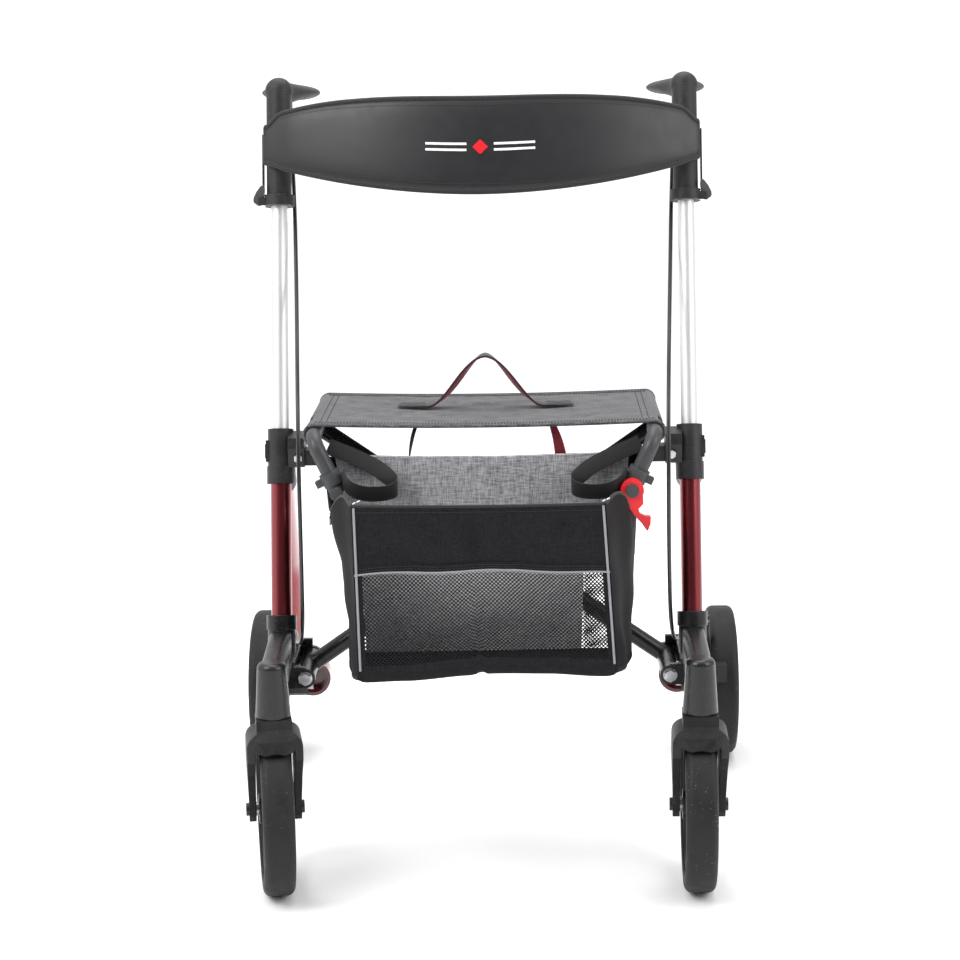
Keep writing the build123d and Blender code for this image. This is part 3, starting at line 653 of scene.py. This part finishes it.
def seat_profile(wrap=1.0):
    """The seat's section from the middle to the rail and, where wrap is 1, round it and a little way back."""
    line = []
    for k in range(SEAT_COLUMNS + 1):
        share = k / SEAT_COLUMNS
        sag = SEAT_SAG * (1 - share ** 2)
        line.append((RAIL_X * share, RAIL_Z + RAIL_WRAP - sag))
    for turned in range(0, 151, 15):
        angle = radians(75 - turned * wrap)
        line.append((RAIL_X + RAIL_WRAP * cos(angle), RAIL_Z + RAIL_WRAP * sin(angle)))
    return line


def seat_point(side, x, z, y, lift=0.0):
    """A point of the seat from its section, with slight ripples that fade out at the edges."""
    ripple = 0.5 * sin(x * 0.11 + y * 0.06) + 0.35 * sin(x * 0.05 - y * 0.14 + 1.2)
    fade = ease((RAIL_X - x) / 60) * ease((y - SEAT_FRONT) / 30) * ease((SEAT_REAR - y) / 30)
    return Vector((SIDES[side] * x, y, z + ripple * fade + lift))


def seat(side):
    """Half of the seat: its cloth, the rolled hems in front and behind, and the rows of stitches."""
    profile = seat_profile()
    rows = []
    for d in range(SEAT_ROWS + 1):
        y = SEAT_FRONT + (SEAT_REAR - SEAT_FRONT) * d / SEAT_ROWS
        section = seat_profile(NOTCH_WRAP if abs(y - TUBE_Y[side]) < TUBE_NOTCH else 1.0)
        rows.append([seat_point(side, x, z, y) for x, z in section])
    body = f"seat_{side}"
    finish = MATERIALS["seat_cloth"]
    fabric = piece(f"{side}_seat_cloth", *cloth(rows, SEAT_THICK), finish, body, "seat_cloth")
    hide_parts(f"{side}_seat_fabric")
    width = sum(hypot(b[0] - a[0], b[1] - a[1]) for a, b in zip(profile, profile[1:]))
    top = profile[:SEAT_COLUMNS + 1]
    hems = []
    for y0, y1 in ((SEAT_FRONT - 0.8, SEAT_FRONT + HEM_WIDTH), (SEAT_REAR - HEM_WIDTH, SEAT_REAR + 0.8)):
        for lift in (0.9, -1.0):
            rows = [[seat_point(side, x, z, y0 + (y1 - y0) * d / 4, lift) for x, z in top] for d in range(5)]
            hems.append(cloth(rows, HEM_THICK))
    for y in (SEAT_FRONT - 0.4, SEAT_REAR + 0.4):
        hems.append(tube([seat_point(side, x, z, y) for x, z in profile], HEM_ROLL_R, 10))
    piece(f"{side}_seat_hem", *joined(hems), finish, body, "seat_cloth")
    threads = []
    depths = [SEAT_FRONT + 1 + (SEAT_REAR - SEAT_FRONT - 2) * d / 30 for d in range(31)]
    for x in (RAIL_X - inset for inset in RAIL_SEAMS):
        row = [seat_point(side, x, z_at(top, x), y, 0.9) for y in depths]
        threads.append(stitches(row, *SEAT_STITCH))
    for y in [SEAT_FRONT + inset for inset in EDGE_SEAMS] + [SEAT_REAR - inset for inset in EDGE_SEAMS]:
        threads.append(stitches([seat_point(side, x, z, y, 1.6) for x, z in top], *SEAT_STITCH))
    piece(f"{side}_seat_stitches", *joined(threads), THREAD, body, "seat_cloth")


def z_at(line, x):
    """Height of a section's line at x."""
    for (x0, z0), (x1, z1) in zip(line, line[1:]):
        if x0 <= x <= x1:
            return z0 + (z1 - z0) * (x - x0) / (x1 - x0)
    return line[-1][1]


STRAP_Y = -40.0
STRAP_WIDTH = 27.0
STRAP_PEAK = 60.0
STRAP_FOOT = 70.0
STRAP_END = 105.0
STRAP_TWIST = 18.0
STRAP_STEPS = 24
STRAP_THICK = 1.5
STITCH_INSET = 3


def strap_half(side):
    """Half of the pull strap: black webbing over red, with its foot sewn to the seat."""
    s = SIDES[side]
    line = []
    for k in range(STRAP_STEPS + 1):
        x = STRAP_FOOT * k / STRAP_STEPS
        rise = STRAP_PEAK * (0.5 + 0.5 * cos(pi * (x / STRAP_FOOT) ** 0.92))
        line.append(Vector((s * x, STRAP_Y, SEAT_TOP + 1.2 + rise)))
    body = f"strap_{side}"
    twists = [radians(STRAP_TWIST) * sin(pi * k / STRAP_STEPS) for k in range(STRAP_STEPS + 1)]
    across = [Vector((-s * sin(t), cos(t), 0)) for t in twists]
    over = ribbon(line, across, STRAP_WIDTH, STRAP_THICK)
    under = ribbon([p - Vector((s * 0.7, 0, 1.2)) for p in line], across, STRAP_WIDTH - 1.5, 1.3)
    made = piece(f"{side}_strap_black", *over, WEBBING, body, "webbing")
    piece(f"{side}_strap_red", *under, RED_WEBBING, body, "webbing")
    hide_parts(f"{side}_fold_strap")
    foot = [Vector((s * x, STRAP_Y, SEAT_TOP + 1.3)) for x in (STRAP_FOOT - 1, 80, 92, STRAP_END)]
    piece(f"{side}_strap_foot", *ribbon(foot, Vector((0, 1, 0)), STRAP_WIDTH, STRAP_THICK),
          WEBBING, f"seat_{side}", "webbing")
    a, b = STRAP_FOOT + 4, STRAP_END - STITCH_INSET
    y0, y1 = STRAP_Y - STRAP_WIDTH / 2 + STITCH_INSET, STRAP_Y + STRAP_WIDTH / 2 - STITCH_INSET
    corners = [(a, y0), (b, y0), (b, y1), (a, y1), (a, y0), (b, y1), (b, y0), (a, y1)]
    box_line = [Vector((s * x, y, SEAT_TOP + 2.2)) for x, y in corners]
    piece(f"{side}_strap_stitches", *stitches(box_line, 2.8, 2.0, 0.35), THREAD, f"seat_{side}", "webbing")


for side in SIDES:
    seat(side)
    strap_half(side)

# ---- bag

BAG_LOW, BAG_HIGH = (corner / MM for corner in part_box("bag"))
RIM_FRONT = 460.0
RIM_BACK = 493.0
SEAM_RISE = 384.0
NYLON = 1.3
# the wall's corners from the front left round to the back left, at its hem and at its rim
LOW_CORNERS = ((-143, -278), (147, -278), (166, BAG_HIGH.y - 2), (-158, BAG_HIGH.y - 2))
HIGH_CORNERS = ((-145, BAG_LOW.y + 1), (134.5, BAG_LOW.y + 1), (178, BAG_HIGH.y - 1), (-185, BAG_HIGH.y - 1))
RIMS = (RIM_FRONT, RIM_FRONT, RIM_BACK, RIM_BACK)
FLARES = (1.0, 1.0, 1.0, 1.8)
# the dip in each side's rim, as a depth, a share of the way back and a width
DIP = 44
DIP_AT = 0.68
DIP_WIDTH = 0.27
BELLY = 5.5
FOLD_GAIN = 1.6
MESH_PITCH = 4.55
MESH_ROW = 2.4
MESH_HOLE = 1.36
# the lower edge's height at each u, then the front's folds: both ends, how far it stands out and its width
HEM = ((0.0, 264.0), (0.16, 265.0), (0.44, 273.0), (0.47, 278.5), (0.5, 274.5), (0.75, 272.5), (1.0, 270.0),
       (1.5, 260.0), (2.0, 260.0), (3.0, 258.0), (3.5, 252.0), (4.0, 264.0))
CREASES = (((-46, 462), (-16, 388), 2.6, 10), ((-14, 462), (-8, 388), -3.0, 8),
           ((108, 452), (18, 392), -4.5, 10), ((92, 440), (8, 386), 3.2, 8),
           ((-100, 446), (-34, 400), 2.2, 14), ((24, 464), (14, 396), 2.4, 8),
           ((-125, 420), (-60, 386), -2.0, 12), ((60, 462), (95, 405), 1.6, 12),
           ((-110, 300), (40, 350), 2.6, 16), ((60, 280), (120, 372), -2.4, 14))


def hem_height(u):
    """Height of the wall's lower edge at u."""
    for (u0, z0), (u1, z1) in zip(HEM, HEM[1:]):
        if u <= u1:
            return z0 + (z1 - z0) * ease((u - u0) / (u1 - u0))
    return HEM[-1][1]


def crease(x, z):
    """How far the front stands out at x and z, from soft folds along a few lines."""
    total = 0.0
    for (x0, z0), (x1, z1), depth, width in CREASES:
        length = hypot(x1 - x0, z1 - z0)
        along = ((x - x0) * (x1 - x0) + (z - z0) * (z1 - z0)) / length
        away = ((x - x0) * (z1 - z0) - (z - z0) * (x1 - x0)) / length
        fade = ease(along / 25) * ease((length - along) / 25)
        total += depth * fade * bell(away / width)
    return total * FOLD_GAIN


def bag_point(u, t):
    """The bag's wall: u 0-1 across its front, then round the right, back and left; t up to its rim."""
    panel = int(min(u, 3.999))
    w = u - panel
    ends = []
    for corner in (panel, (panel + 1) % 4):
        low, high = Vector((*LOW_CORNERS[corner], 0)), Vector((*HIGH_CORNERS[corner], 0))
        ends.append(low.lerp(high, t ** FLARES[corner]))
    p = ends[0].lerp(ends[1], w)
    arch = max(sin(pi * w), 0.0)
    rim = RIMS[panel] + (RIMS[(panel + 1) % 4] - RIMS[panel]) * w
    if panel in (1, 3):
        back = w if panel == 1 else 1 - w
        rim = rim - DIP * bell((back - DIP_AT) / DIP_WIDTH) * ease((1 - back) / 0.15)
        swell = 4.5 * arch ** 0.75 + 2.2 * arch * sin(9 * w + 4 * t) + 1.6 * arch * sin(5 * t * pi + 2 * w)
        p.x += swell if panel == 1 else -swell
    hem = hem_height(u)
    p.z = hem + (rim - hem) * t
    edge = min(arch * 3, 1.0) * min(t * 6, 1.0)
    if panel == 0:
        belly = BELLY * arch * sin(pi * min(t / 0.62, 1.0)) * (1 if t < 0.62 else 0)
        p.y -= (belly + crease(p.x, p.z) * min((1 - t) * 5 + 0.3, 1.0)) * edge
        p.z -= 1.6 * arch * t ** 6
    if panel == 2:
        p.z -= 3.0 * arch * t ** 4
        p.y -= (5.0 * arch * t + 1.2 * sin(w * 19) * t) * edge
    return p


def bag_panel(name, u0, u1, t0, t1, material, columns, rows, grow=0.0, thickness=NYLON):
    """A cloth panel of the bag's wall; t0 and t1 are numbers or functions of u; grow moves it out or in."""
    centre = Vector((0, (BAG_LOW.y + BAG_HIGH.y) / 2, 0))
    grid = []
    for r in range(rows + 1):
        line = []
        for c in range(columns + 1):
            u = u0 + (u1 - u0) * c / columns
            low, high = (t(u) if callable(t) else t for t in (t0, t1))
            p = bag_point(u, low + (high - low) * r / rows)
            out = (Vector((p.x, p.y, 0)) - centre).normalized()
            line.append(p + out * grow)
        grid.append(line)
    return bag_piece(name, *cloth(grid, thickness), material)


def bag_piece(name, points, faces, material, slot="bag_nylon"):
    """A piece that rides with the bag, with a mesh of its own."""
    made = piece(name, points, faces, material, "bag", slot)
    anchor = JOINTS["bag_fold"]["pos_m"]
    tuple(anchor)
    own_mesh(made)
    return made


def seam_share(u):
    """Where the seam between nylon and mesh lies, as a share of the wall's height at u."""
    low = hem_height(u)
    arch = SEAM_RISE - 3.5 + 4.5 * sin(pi * u) ** 0.8 + 1.2 * sin(u * 14)
    return (arch - low) / (RIM_FRONT - low)


WELDS_PER_MM = 50


def perforated(name, place, width, height):
    """Mesh fabric with staggered round holes; place(x, z) maps its flat sheet to space and gives a normal."""
    points, faces, index = [], [], {}

    def vertex(x, z):
        key = (round(x * WELDS_PER_MM), round(z * WELDS_PER_MM))
        if key not in index:
            index[key] = len(points)
            points.append(place(x, z))
        return index[key]

    ring = [(cos(pi * k / 4), sin(pi * k / 4)) for k in range(8)]
    for j in range(1, int(height / MESH_ROW)):
        for i in range(1, int(width / MESH_PITCH)):
            x, z = (i + 0.5 * (j % 2)) * MESH_PITCH, j * MESH_ROW
            outer, inner = [], []
            for k, (cx, cz) in enumerate(ring):
                reach = 0.5 if k % 2 == 0 else 0.5 * sqrt(0.5)
                outer.append(vertex(x + cx * MESH_PITCH * reach, z + cz * MESH_ROW * 2 * reach))
                inner.append(vertex(x + cx * MESH_HOLE, z + cz * MESH_HOLE))
            faces += [(inner[k], inner[(k + 1) % 8], outer[(k + 1) % 8], outer[k]) for k in range(8)]
    edges = {}
    for face in faces:
        for a, b in zip(face, face[1:] + face[:1]):
            edges[(a, b)] = edges.get((a, b), 0) + 1
    count = len(points)
    back = [p + n * 0.8 for p, n in points]
    walls = [(b, a, a + count, b + count) for a, b in edges if (b, a) not in edges]
    solid = faces + [tuple(count + i for i in reversed(f)) for f in faces] + walls
    return bag_piece(name, [p for p, _ in points] + back, solid, BAG_NYLON)


def mesh_place(u0, u1, low, high, width, height):
    """The map of a flat sheet onto the wall between u0 and u1, from the share low(u) to the share high(u)."""
    def at(x, z):
        u = u0 + (u1 - u0) * x / width
        return bag_point(u, low(u) + (high(u) - low(u)) * z / height)

    def place(x, z):
        p = at(x, z)
        normal = (at(x + 1, z) - p).cross(at(x, z + 1) - p).normalized()
        return p, normal
    return place


EDGE_SHARE = 0.03
HEM_SHARE = 0.052
FRONT_MESH = (284.0, 121.0)
PIPING_R = 1.4
SEAM_PIPING_R = 1.15
BAG_STITCH = (3.2, 2.2, 0.32)


def bag_front():
    """The front: nylon above a mesh pocket, with edges, a hem, a seam, piping and stitches."""
    upper = bag_panel("bag_front_nylon", 0, 1, seam_share, 1, BAG_NYLON, 96, 30)
    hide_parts("bag")
    for name, u0, u1 in (("left", 0, EDGE_SHARE), ("right", 1 - EDGE_SHARE, 1)):
        bag_panel(f"bag_front_edge_{name}", u0, u1, 0, seam_share, BAG_NYLON, 3, 24)
    bag_panel("bag_front_hem", 0, 1, 0, HEM_SHARE, BAG_NYLON, 96, 4, grow=0.8)
    perforated("bag_front_mesh", mesh_place(0, 1, lambda u: 0.02, seam_share, *FRONT_MESH), *FRONT_MESH)
    bag_panel("bag_front_seam", 0.0, 1, lambda u: seam_share(u) + 0.004, lambda u: seam_share(u) + 0.05,
              BAG_NYLON, 96, 3, grow=1.2, thickness=1.0)
    lines = [[bag_point(u, t / 40 * 0.99) for t in range(1, 41)] for u in (0.008, 0.992)]
    lines.append([bag_point(k / 60, seam_share(k / 60)) for k in range(0, 61)])
    pipes = []
    for line, radius in zip(lines, (PIPING_R, PIPING_R, SEAM_PIPING_R)):
        pipes.append(tube([p - Vector((0, 1.6, 0)) for p in line], radius, 10))
    bag_piece("bag_piping", *joined(pipes), PIPING)
    threads = []
    for shift in (0.02, 0.035):
        line = [bag_point(0.02 + 0.96 * k / 60, seam_share(k / 60) + shift) for k in range(61)]
        threads.append(stitches([p - Vector((0, 2.6, 0)) for p in line], *BAG_STITCH))
    line = [bag_point(0.015 + 0.97 * k / 60, 0.965) for k in range(61)]
    threads.append(stitches([p - Vector((0, 1.6, 0)) for p in line], *BAG_STITCH))
    bag_piece("bag_front_stitches", *joined(threads), THREAD)


def bag_sides():
    """The two sides, and the binding round the rim of the front and sides."""
    for name, u0 in (("right", 1.0), ("left", 3.0)):
        bag_panel(f"bag_side_{name}", u0, u0 + 1, 0, 1, BAG_NYLON, 40, 40)
    rims = []
    for u0, u1, count in ((0, 1, 60), (1, 2, 30), (3, 4, 30)):
        line = [bag_point(u0 + (u1 - u0) * k / count, 1.0) for k in range(count + 1)]
        rims.append(tube(line, 1.7, 8))
    bag_piece("bag_rim_binding", *joined(rims), WEBBING)


LINING_SPLIT = 0.5
BACK_MESH_WIDTH = 345
BACK_MESH_HEIGHT = 112.0


def bag_back():
    """The pale lining spans the back above and is narrower below, where mesh shows beside it; its lower part is a
    brighter copy with painted light.
    """
    bag_panel("bag_lining", 2.03, 2.97, LINING_SPLIT, 1, MELANGE, 70, 24, grow=-1.0)
    # the lower lining takes the brighter copy: painted light in the dim inside of the bag
    bag_panel("bag_lining_low", 2.17, 2.955, 0.0, LINING_SPLIT, PAINTED_LIGHT_MELANGE, 50, 20, grow=-1.0)
    bag_panel("bag_back_nylon", 2.0, 3.0, LINING_SPLIT - 0.02, 0.995, BAG_NYLON, 70, 24, grow=1.0)
    for name, u0, u1 in (("right", 2.0, 2.18), ("left", 2.945, 3.0)):
        size = (BACK_MESH_WIDTH * (u1 - u0), BACK_MESH_HEIGHT)
        place = mesh_place(u0, u1, lambda u: 0.0, lambda u: LINING_SPLIT, *size)
        perforated(f"bag_back_mesh_{name}", place, *size)
    rim = [bag_point(2.1 + 0.8 * k / 60, 1.0) for k in range(61)]
    bag_piece("bag_lining_rim", *tube(rim, 1.6, 8), MELANGE)


# the floor from the wall inwards: share of the way in, drop below the hem and swell outwards
FLOOR_SECTION = ((0.0, 0.0, 0.6), (0.008, 3.2, 2.0), (0.022, 6.0, 2.8), (0.042, 8.2, 2.4), (0.068, 9.4, 1.2),
                 (0.1, 9.8, 0.4), (0.18, 9.0, 0), (0.32, 8.5, 0), (0.5, 9.5, 0), (0.7, 10.5, 0),
                 (0.86, 11.0, 0), (0.97, 11.2, 0))
FLOOR_CENTRE = (2, -219, 0)
FLOOR_Z = 262
FLOOR_COLUMNS = 160


def bag_floor():
    """The floor, with a rounded lower edge and a slight sag."""
    centre = Vector(FLOOR_CENTRE)
    rows = []
    for share, drop, swell in FLOOR_SECTION:
        row = []
        for k in range(FLOOR_COLUMNS):
            u = 4 * k / FLOOR_COLUMNS
            p = bag_point(u, 0.0)
            out = Vector((p.x, p.y, 0)) - centre
            ripple = 1.2 * sin(u * 11) * min(share * 8, 1) * (1 - share)
            z = p.z * (1 - share) + FLOOR_Z * share - drop + ripple
            row.append(centre + out * (1 - share) + out.normalized() * swell + Vector((0, 0, z)))
        rows.append(row)
    for row in rows:
        row.append(row[0].copy())
    bag_piece("bag_floor", *cloth([list(reversed(row)) for row in rows], NYLON), BAG_NYLON)


LOOP_WIDTH = 19
LOOP_THICK = 1.6
LOOP_STITCH = (3.0, 2.0, 0.3)


def webbing_loop(side):
    """The carrying loop: webbing from the back corner, round its tip in the bag and out to the rail's tip."""
    s = SIDES[side]
    points = [(s * 180, -161, 504), (s * 152, -165, 493), (s * 126, -171, 481), (s * 112, -178, 472),
              (s * 102, -187, 464), (s * 101, -196, 460), (s * 112, -204, 457), (s * 132, -208, 457),
              (s * 148, -207, 461), (s * 157, -203, 468), (s * 162, -196, 480)]
    line = evenly(curve_through(points, 6), 3.0)
    across = []
    for k in range(len(line)):
        tilt = 0.45 - 0.75 * ease((k / len(line) - 0.35) / 0.3)
        across.append(Vector((0, tilt, 1)))
    strap = ribbon(line, across, LOOP_WIDTH, LOOP_THICK)
    edge = []
    for shift in (-7.4, 7.4):
        edge.append(stitches([p + Vector((0, -1.2, shift)) for p in line[4:-4]], *LOOP_STITCH))
    made = bag_piece(f"bag_loop_{side}", *strap, WEBBING, "webbing")
    if side == "left":
        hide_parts("bag_straps")
    bag_piece(f"bag_loop_stitches_{side}", *joined(edge), THREAD, "webbing")


EYELET_HALF = (3.2, 6.0)
EYELET_R = 1.3
TACK_PLACES = (0.006, 0.99)
TACK_STITCH = (3.0, 2.6, 0.8)


def bag_eyelet():
    """A pressed steel eyelet below the left rail's tip, and two white tacks above each piping."""
    centre = bag_point(3.3, 0.93) + Vector((-1.5, -1.0, 0))
    wide, high = EYELET_HALF
    ring = [centre + Vector((0, wide * cos(a), high * sin(a))) for a in (pi * k / 12 for k in range(24))]
    bag_piece("bag_eyelet", *tube(ring, EYELET_R, 8, closed=True), MATERIALS["zinc_steel"], "zinc_steel")
    tacks = []
    for u in TACK_PLACES:
        for shift in (0, 5):
            spot = bag_point(u + shift * 0.002, 1.0) + Vector((shift * 0.4, -1.0, 3.0 + shift * 0.4))
            tacks.append(stitches([spot, spot + Vector((2.6, 0, 1.4))], *TACK_STITCH))
    bag_piece("bag_tacks", *joined(tacks), WHITE_PRINT, "webbing")


STRIP_END_Z = 452
STRIP_HALF_THICK = 0.7
KNOT_TURN = (3.4, 3.0, 5.0)
KNOT_R = 2.0


def hanging_strip(side, material, widths, twist):
    """A strip of the pull strap that hangs from the seat to the X tube below it."""
    s = SIDES[side]
    body = {"left": "cross_b", "right": "cross_a"}[side]
    y = TUBE_Y[side]
    top, low = (s * 79, y - 12, SEAT_TOP - 6), (s * 87, y - 6, STRIP_END_Z)
    line = curve_through([top, (s * 85, y - 15, 505), (s * 89, y - 13, 478), low], 8)
    across = [Vector((cos(twist * k / len(line)), sin(twist * k / len(line)), 0)) for k in range(len(line))]
    points = []
    for k, p in enumerate(line):
        width = widths[0] + (widths[1] - widths[0]) * k / (len(line) - 1)
        w = across[k] * width / 2
        n = Vector((-across[k].y, across[k].x, 0)) * STRIP_HALF_THICK
        points += [p - w - n, p + w - n, p + w + n, p - w + n]
    faces = grid_faces(len(line), 4, wrap=True)
    last = (len(line) - 1) * 4
    faces += [(3, 2, 1, 0), (last, last + 1, last + 2, last + 3)]
    if side == "left":
        middle = line[len(line) * 2 // 3]
        x, y, z = KNOT_TURN
        turns = [middle + Vector((x * cos(a), y * sin(a), z * sin(a * 0.5) - z / 2)) for a in
                 (pi * k / 8 for k in range(28))]
        points, faces = joined([(points, faces), tube(turns, KNOT_R, 8)])
    made = piece(f"{side}_hanging_strip", points, faces, material, body, "webbing")
    tuple(c * MM for c in low)
    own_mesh(made)


bag_front()
bag_sides()
bag_back()
bag_floor()
for side in SIDES:
    webbing_loop(side)
bag_eyelet()
hanging_strip("left", WEBBING, (4, 7), 2.6)
hanging_strip("right", RED_WEBBING, (8, 18), 0.5)

# ---- brake cables

CABLE_ROUTE = (
    (228.0, -14.0, 872.9), (225.0, -20.0, 822.0), (222.0, -42.0, 766.0), (219.0, -78.0, 706.0),
    (215.0, -127.0, 650.0), (211.0, -180.0, 600.0), (208.0, -222.0, 545.0), (207.5, -236.0, 480.0),
    (208.0, -232.0, 415.0), (209.5, -220.0, 355.0), (212.0, -198.0, 305.0), (217.5, -168.0, 272.0),
    (227.5, -128.0, 262.0), (232.0, -84.0, 260.0), (239.0, -30.0, 250.0), (250.0, 24.0, 238.0),
    (265.0, 78.0, 226.0), (279.0, 126.0, 214.0), (284.0, 158.0, 205.0), (284.5, 184.6, 199.0),
)
CABLE_RADIUS = 2.4


def smooth_route(points):
    """Points along the smooth NURBS line of a route."""
    curve = bpy.data.curves.new("route", "CURVE")
    curve.dimensions = "3D"
    curve.resolution_u = 8
    spline = curve.splines.new("NURBS")
    spline.points.add(len(points) - 1)
    for control, p in zip(spline.points, points):
        control.co = (*(c * MM for c in p), 1.0)
    spline.order_u = 3
    spline.use_endpoint_u = True
    holder = in_scene("route", curve)
    bpy.context.view_layer.update()
    mesh = bpy.data.meshes.new_from_object(holder)
    line = [v.co / MM for v in mesh.vertices]
    bpy.data.objects.remove(holder)
    bpy.data.meshes.remove(mesh)
    return line


def brake_cable(side):
    """A brake cable along its route, with no body to ride on."""
    line = smooth_route([(SIDES[side] * x, y, z) for x, y, z in CABLE_ROUTE])
    sheath = tube(line, CABLE_RADIUS, 12)
    cable = piece(f"{side}_cable", *sheath, MATERIALS["cable_sheath"], slot="cable_sheath")
    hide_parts(f"{side}_brake_cable")
    length = sum((b - a).length for a, b in zip(line, line[1:])) * MM
    [c * MM for c in line[0]]
    [[c * MM for c in p] for p in line]
    high, low = Vector(CABLE_ROUTE[2]) * MM, Vector(CABLE_ROUTE[8]) * MM
    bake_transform(cable)


for side in SIDES:
    brake_cable(side)

# ---- camera, floor and light

CAMERA_PLACE = (0.0529, -2.7599, 0.9809)
PITCH, YAW, ROLL = radians(-11.28), radians(1.29), radians(0.93)
CAMERA_LENS = 86.04
CAMERA_SENSOR = 36.0
FLOOR_LINES = (-9000, -3000, 0, 3000, 9000)
# name, place, target, side and power of each soft light
LIGHTS = (("key", (-1.8, -1.6, 2.6), (0, 0, 0.5), 1.6, 55),
          ("fill", (2.2, -1.2, 1.8), (0, 0, 0.5), 1.6, 30),
          ("top", (0.0, 0.6, 3.2), (0, 0, 0.4), 2.2, 45))
SKY_COLOR = (0.985, 0.985, 0.99, 1)
# the sky's strength from one value of a direction to another: it is dark in front and dimmer on the right
SKY_FRONT = (-0.88, -0.40, 0.12, 1.27)
SKY_RIGHT = (0.35, 0.85, 1.0, 0.62)


def area_light(name, place, target, side, power):
    """A square soft light that faces its target."""
    light = bpy.data.lights.new(name, "AREA")
    light.shape = "RECTANGLE"
    light.size, light.size_y = side, side
    light.energy = power
    obj = in_scene(name, light)
    obj.location = place
    obj.rotation_euler = (Vector(target) - Vector(place)).to_track_quat("-Z", "Y").to_euler()


def camera():
    """The camera in front of the walker, a little above it and slightly turned."""
    ahead = Vector((-sin(YAW) * cos(PITCH), cos(YAW) * cos(PITCH), sin(PITCH)))
    right = ahead.cross(Vector((0, 0, 1))).normalized()
    up = right.cross(ahead)
    right, up = right * cos(ROLL) - up * sin(ROLL), up * cos(ROLL) + right * sin(ROLL)
    lens = bpy.data.cameras.new("camera")
    lens.sensor_width = CAMERA_SENSOR
    lens.lens = CAMERA_LENS
    view = in_scene("camera", lens)
    turn = Matrix((right, up, -ahead)).transposed().to_4x4()
    view.matrix_world = Matrix.Translation(CAMERA_PLACE) @ turn
    bpy.context.scene.camera = view


def pale_floor():
    """A plain pale floor."""
    points = [Vector((x, y, 0)) for y in FLOOR_LINES for x in FLOOR_LINES]
    faces = grid_faces(len(FLOOR_LINES), len(FLOOR_LINES))
    pale = coated("floor", (0.975, 0.975, 0.975), 0.7, 300.0, 0.02, 0.0, (0.96, 0.96, 0.96))
    floor = piece("floor", points, faces, pale)


def sky_ramp(tree, direction, values):
    """A smooth change of strength along one direction of the sky."""
    ramp = tree.nodes.new("ShaderNodeMapRange")
    ramp.interpolation_type = "SMOOTHSTEP"
    for socket, value in zip(("From Min", "From Max", "To Min", "To Max"), values):
        ramp.inputs[socket].default_value = value
    tree.links.new(direction, ramp.inputs["Value"])
    return ramp.outputs["Result"]


def sky():
    """Soft white light from all round, dark in front and dimmer on the right."""
    world = bpy.data.worlds.new("studio")
    bpy.context.scene.world = world
    world.use_nodes = True
    tree = world.node_tree
    back = tree.nodes["Background"]
    back.inputs["Color"].default_value = SKY_COLOR
    where = tree.nodes.new("ShaderNodeTexCoord")
    split = tree.nodes.new("ShaderNodeSeparateXYZ")
    tree.links.new(where.outputs["Generated"], split.inputs[0])
    strength = tree.nodes.new("ShaderNodeMath")
    strength.operation = "MULTIPLY"
    tree.links.new(sky_ramp(tree, split.outputs["Y"], SKY_FRONT), strength.inputs[0])
    tree.links.new(sky_ramp(tree, split.outputs["X"], SKY_RIGHT), strength.inputs[1])
    tree.links.new(strength.outputs["Value"], back.inputs["Strength"])


def studio():
    """Camera, floor and light."""
    camera()
    pale_floor()
    sky()
    for light in LIGHTS:
        area_light(*light)
    bpy.context.scene.view_settings.view_transform = "Standard"


studio()
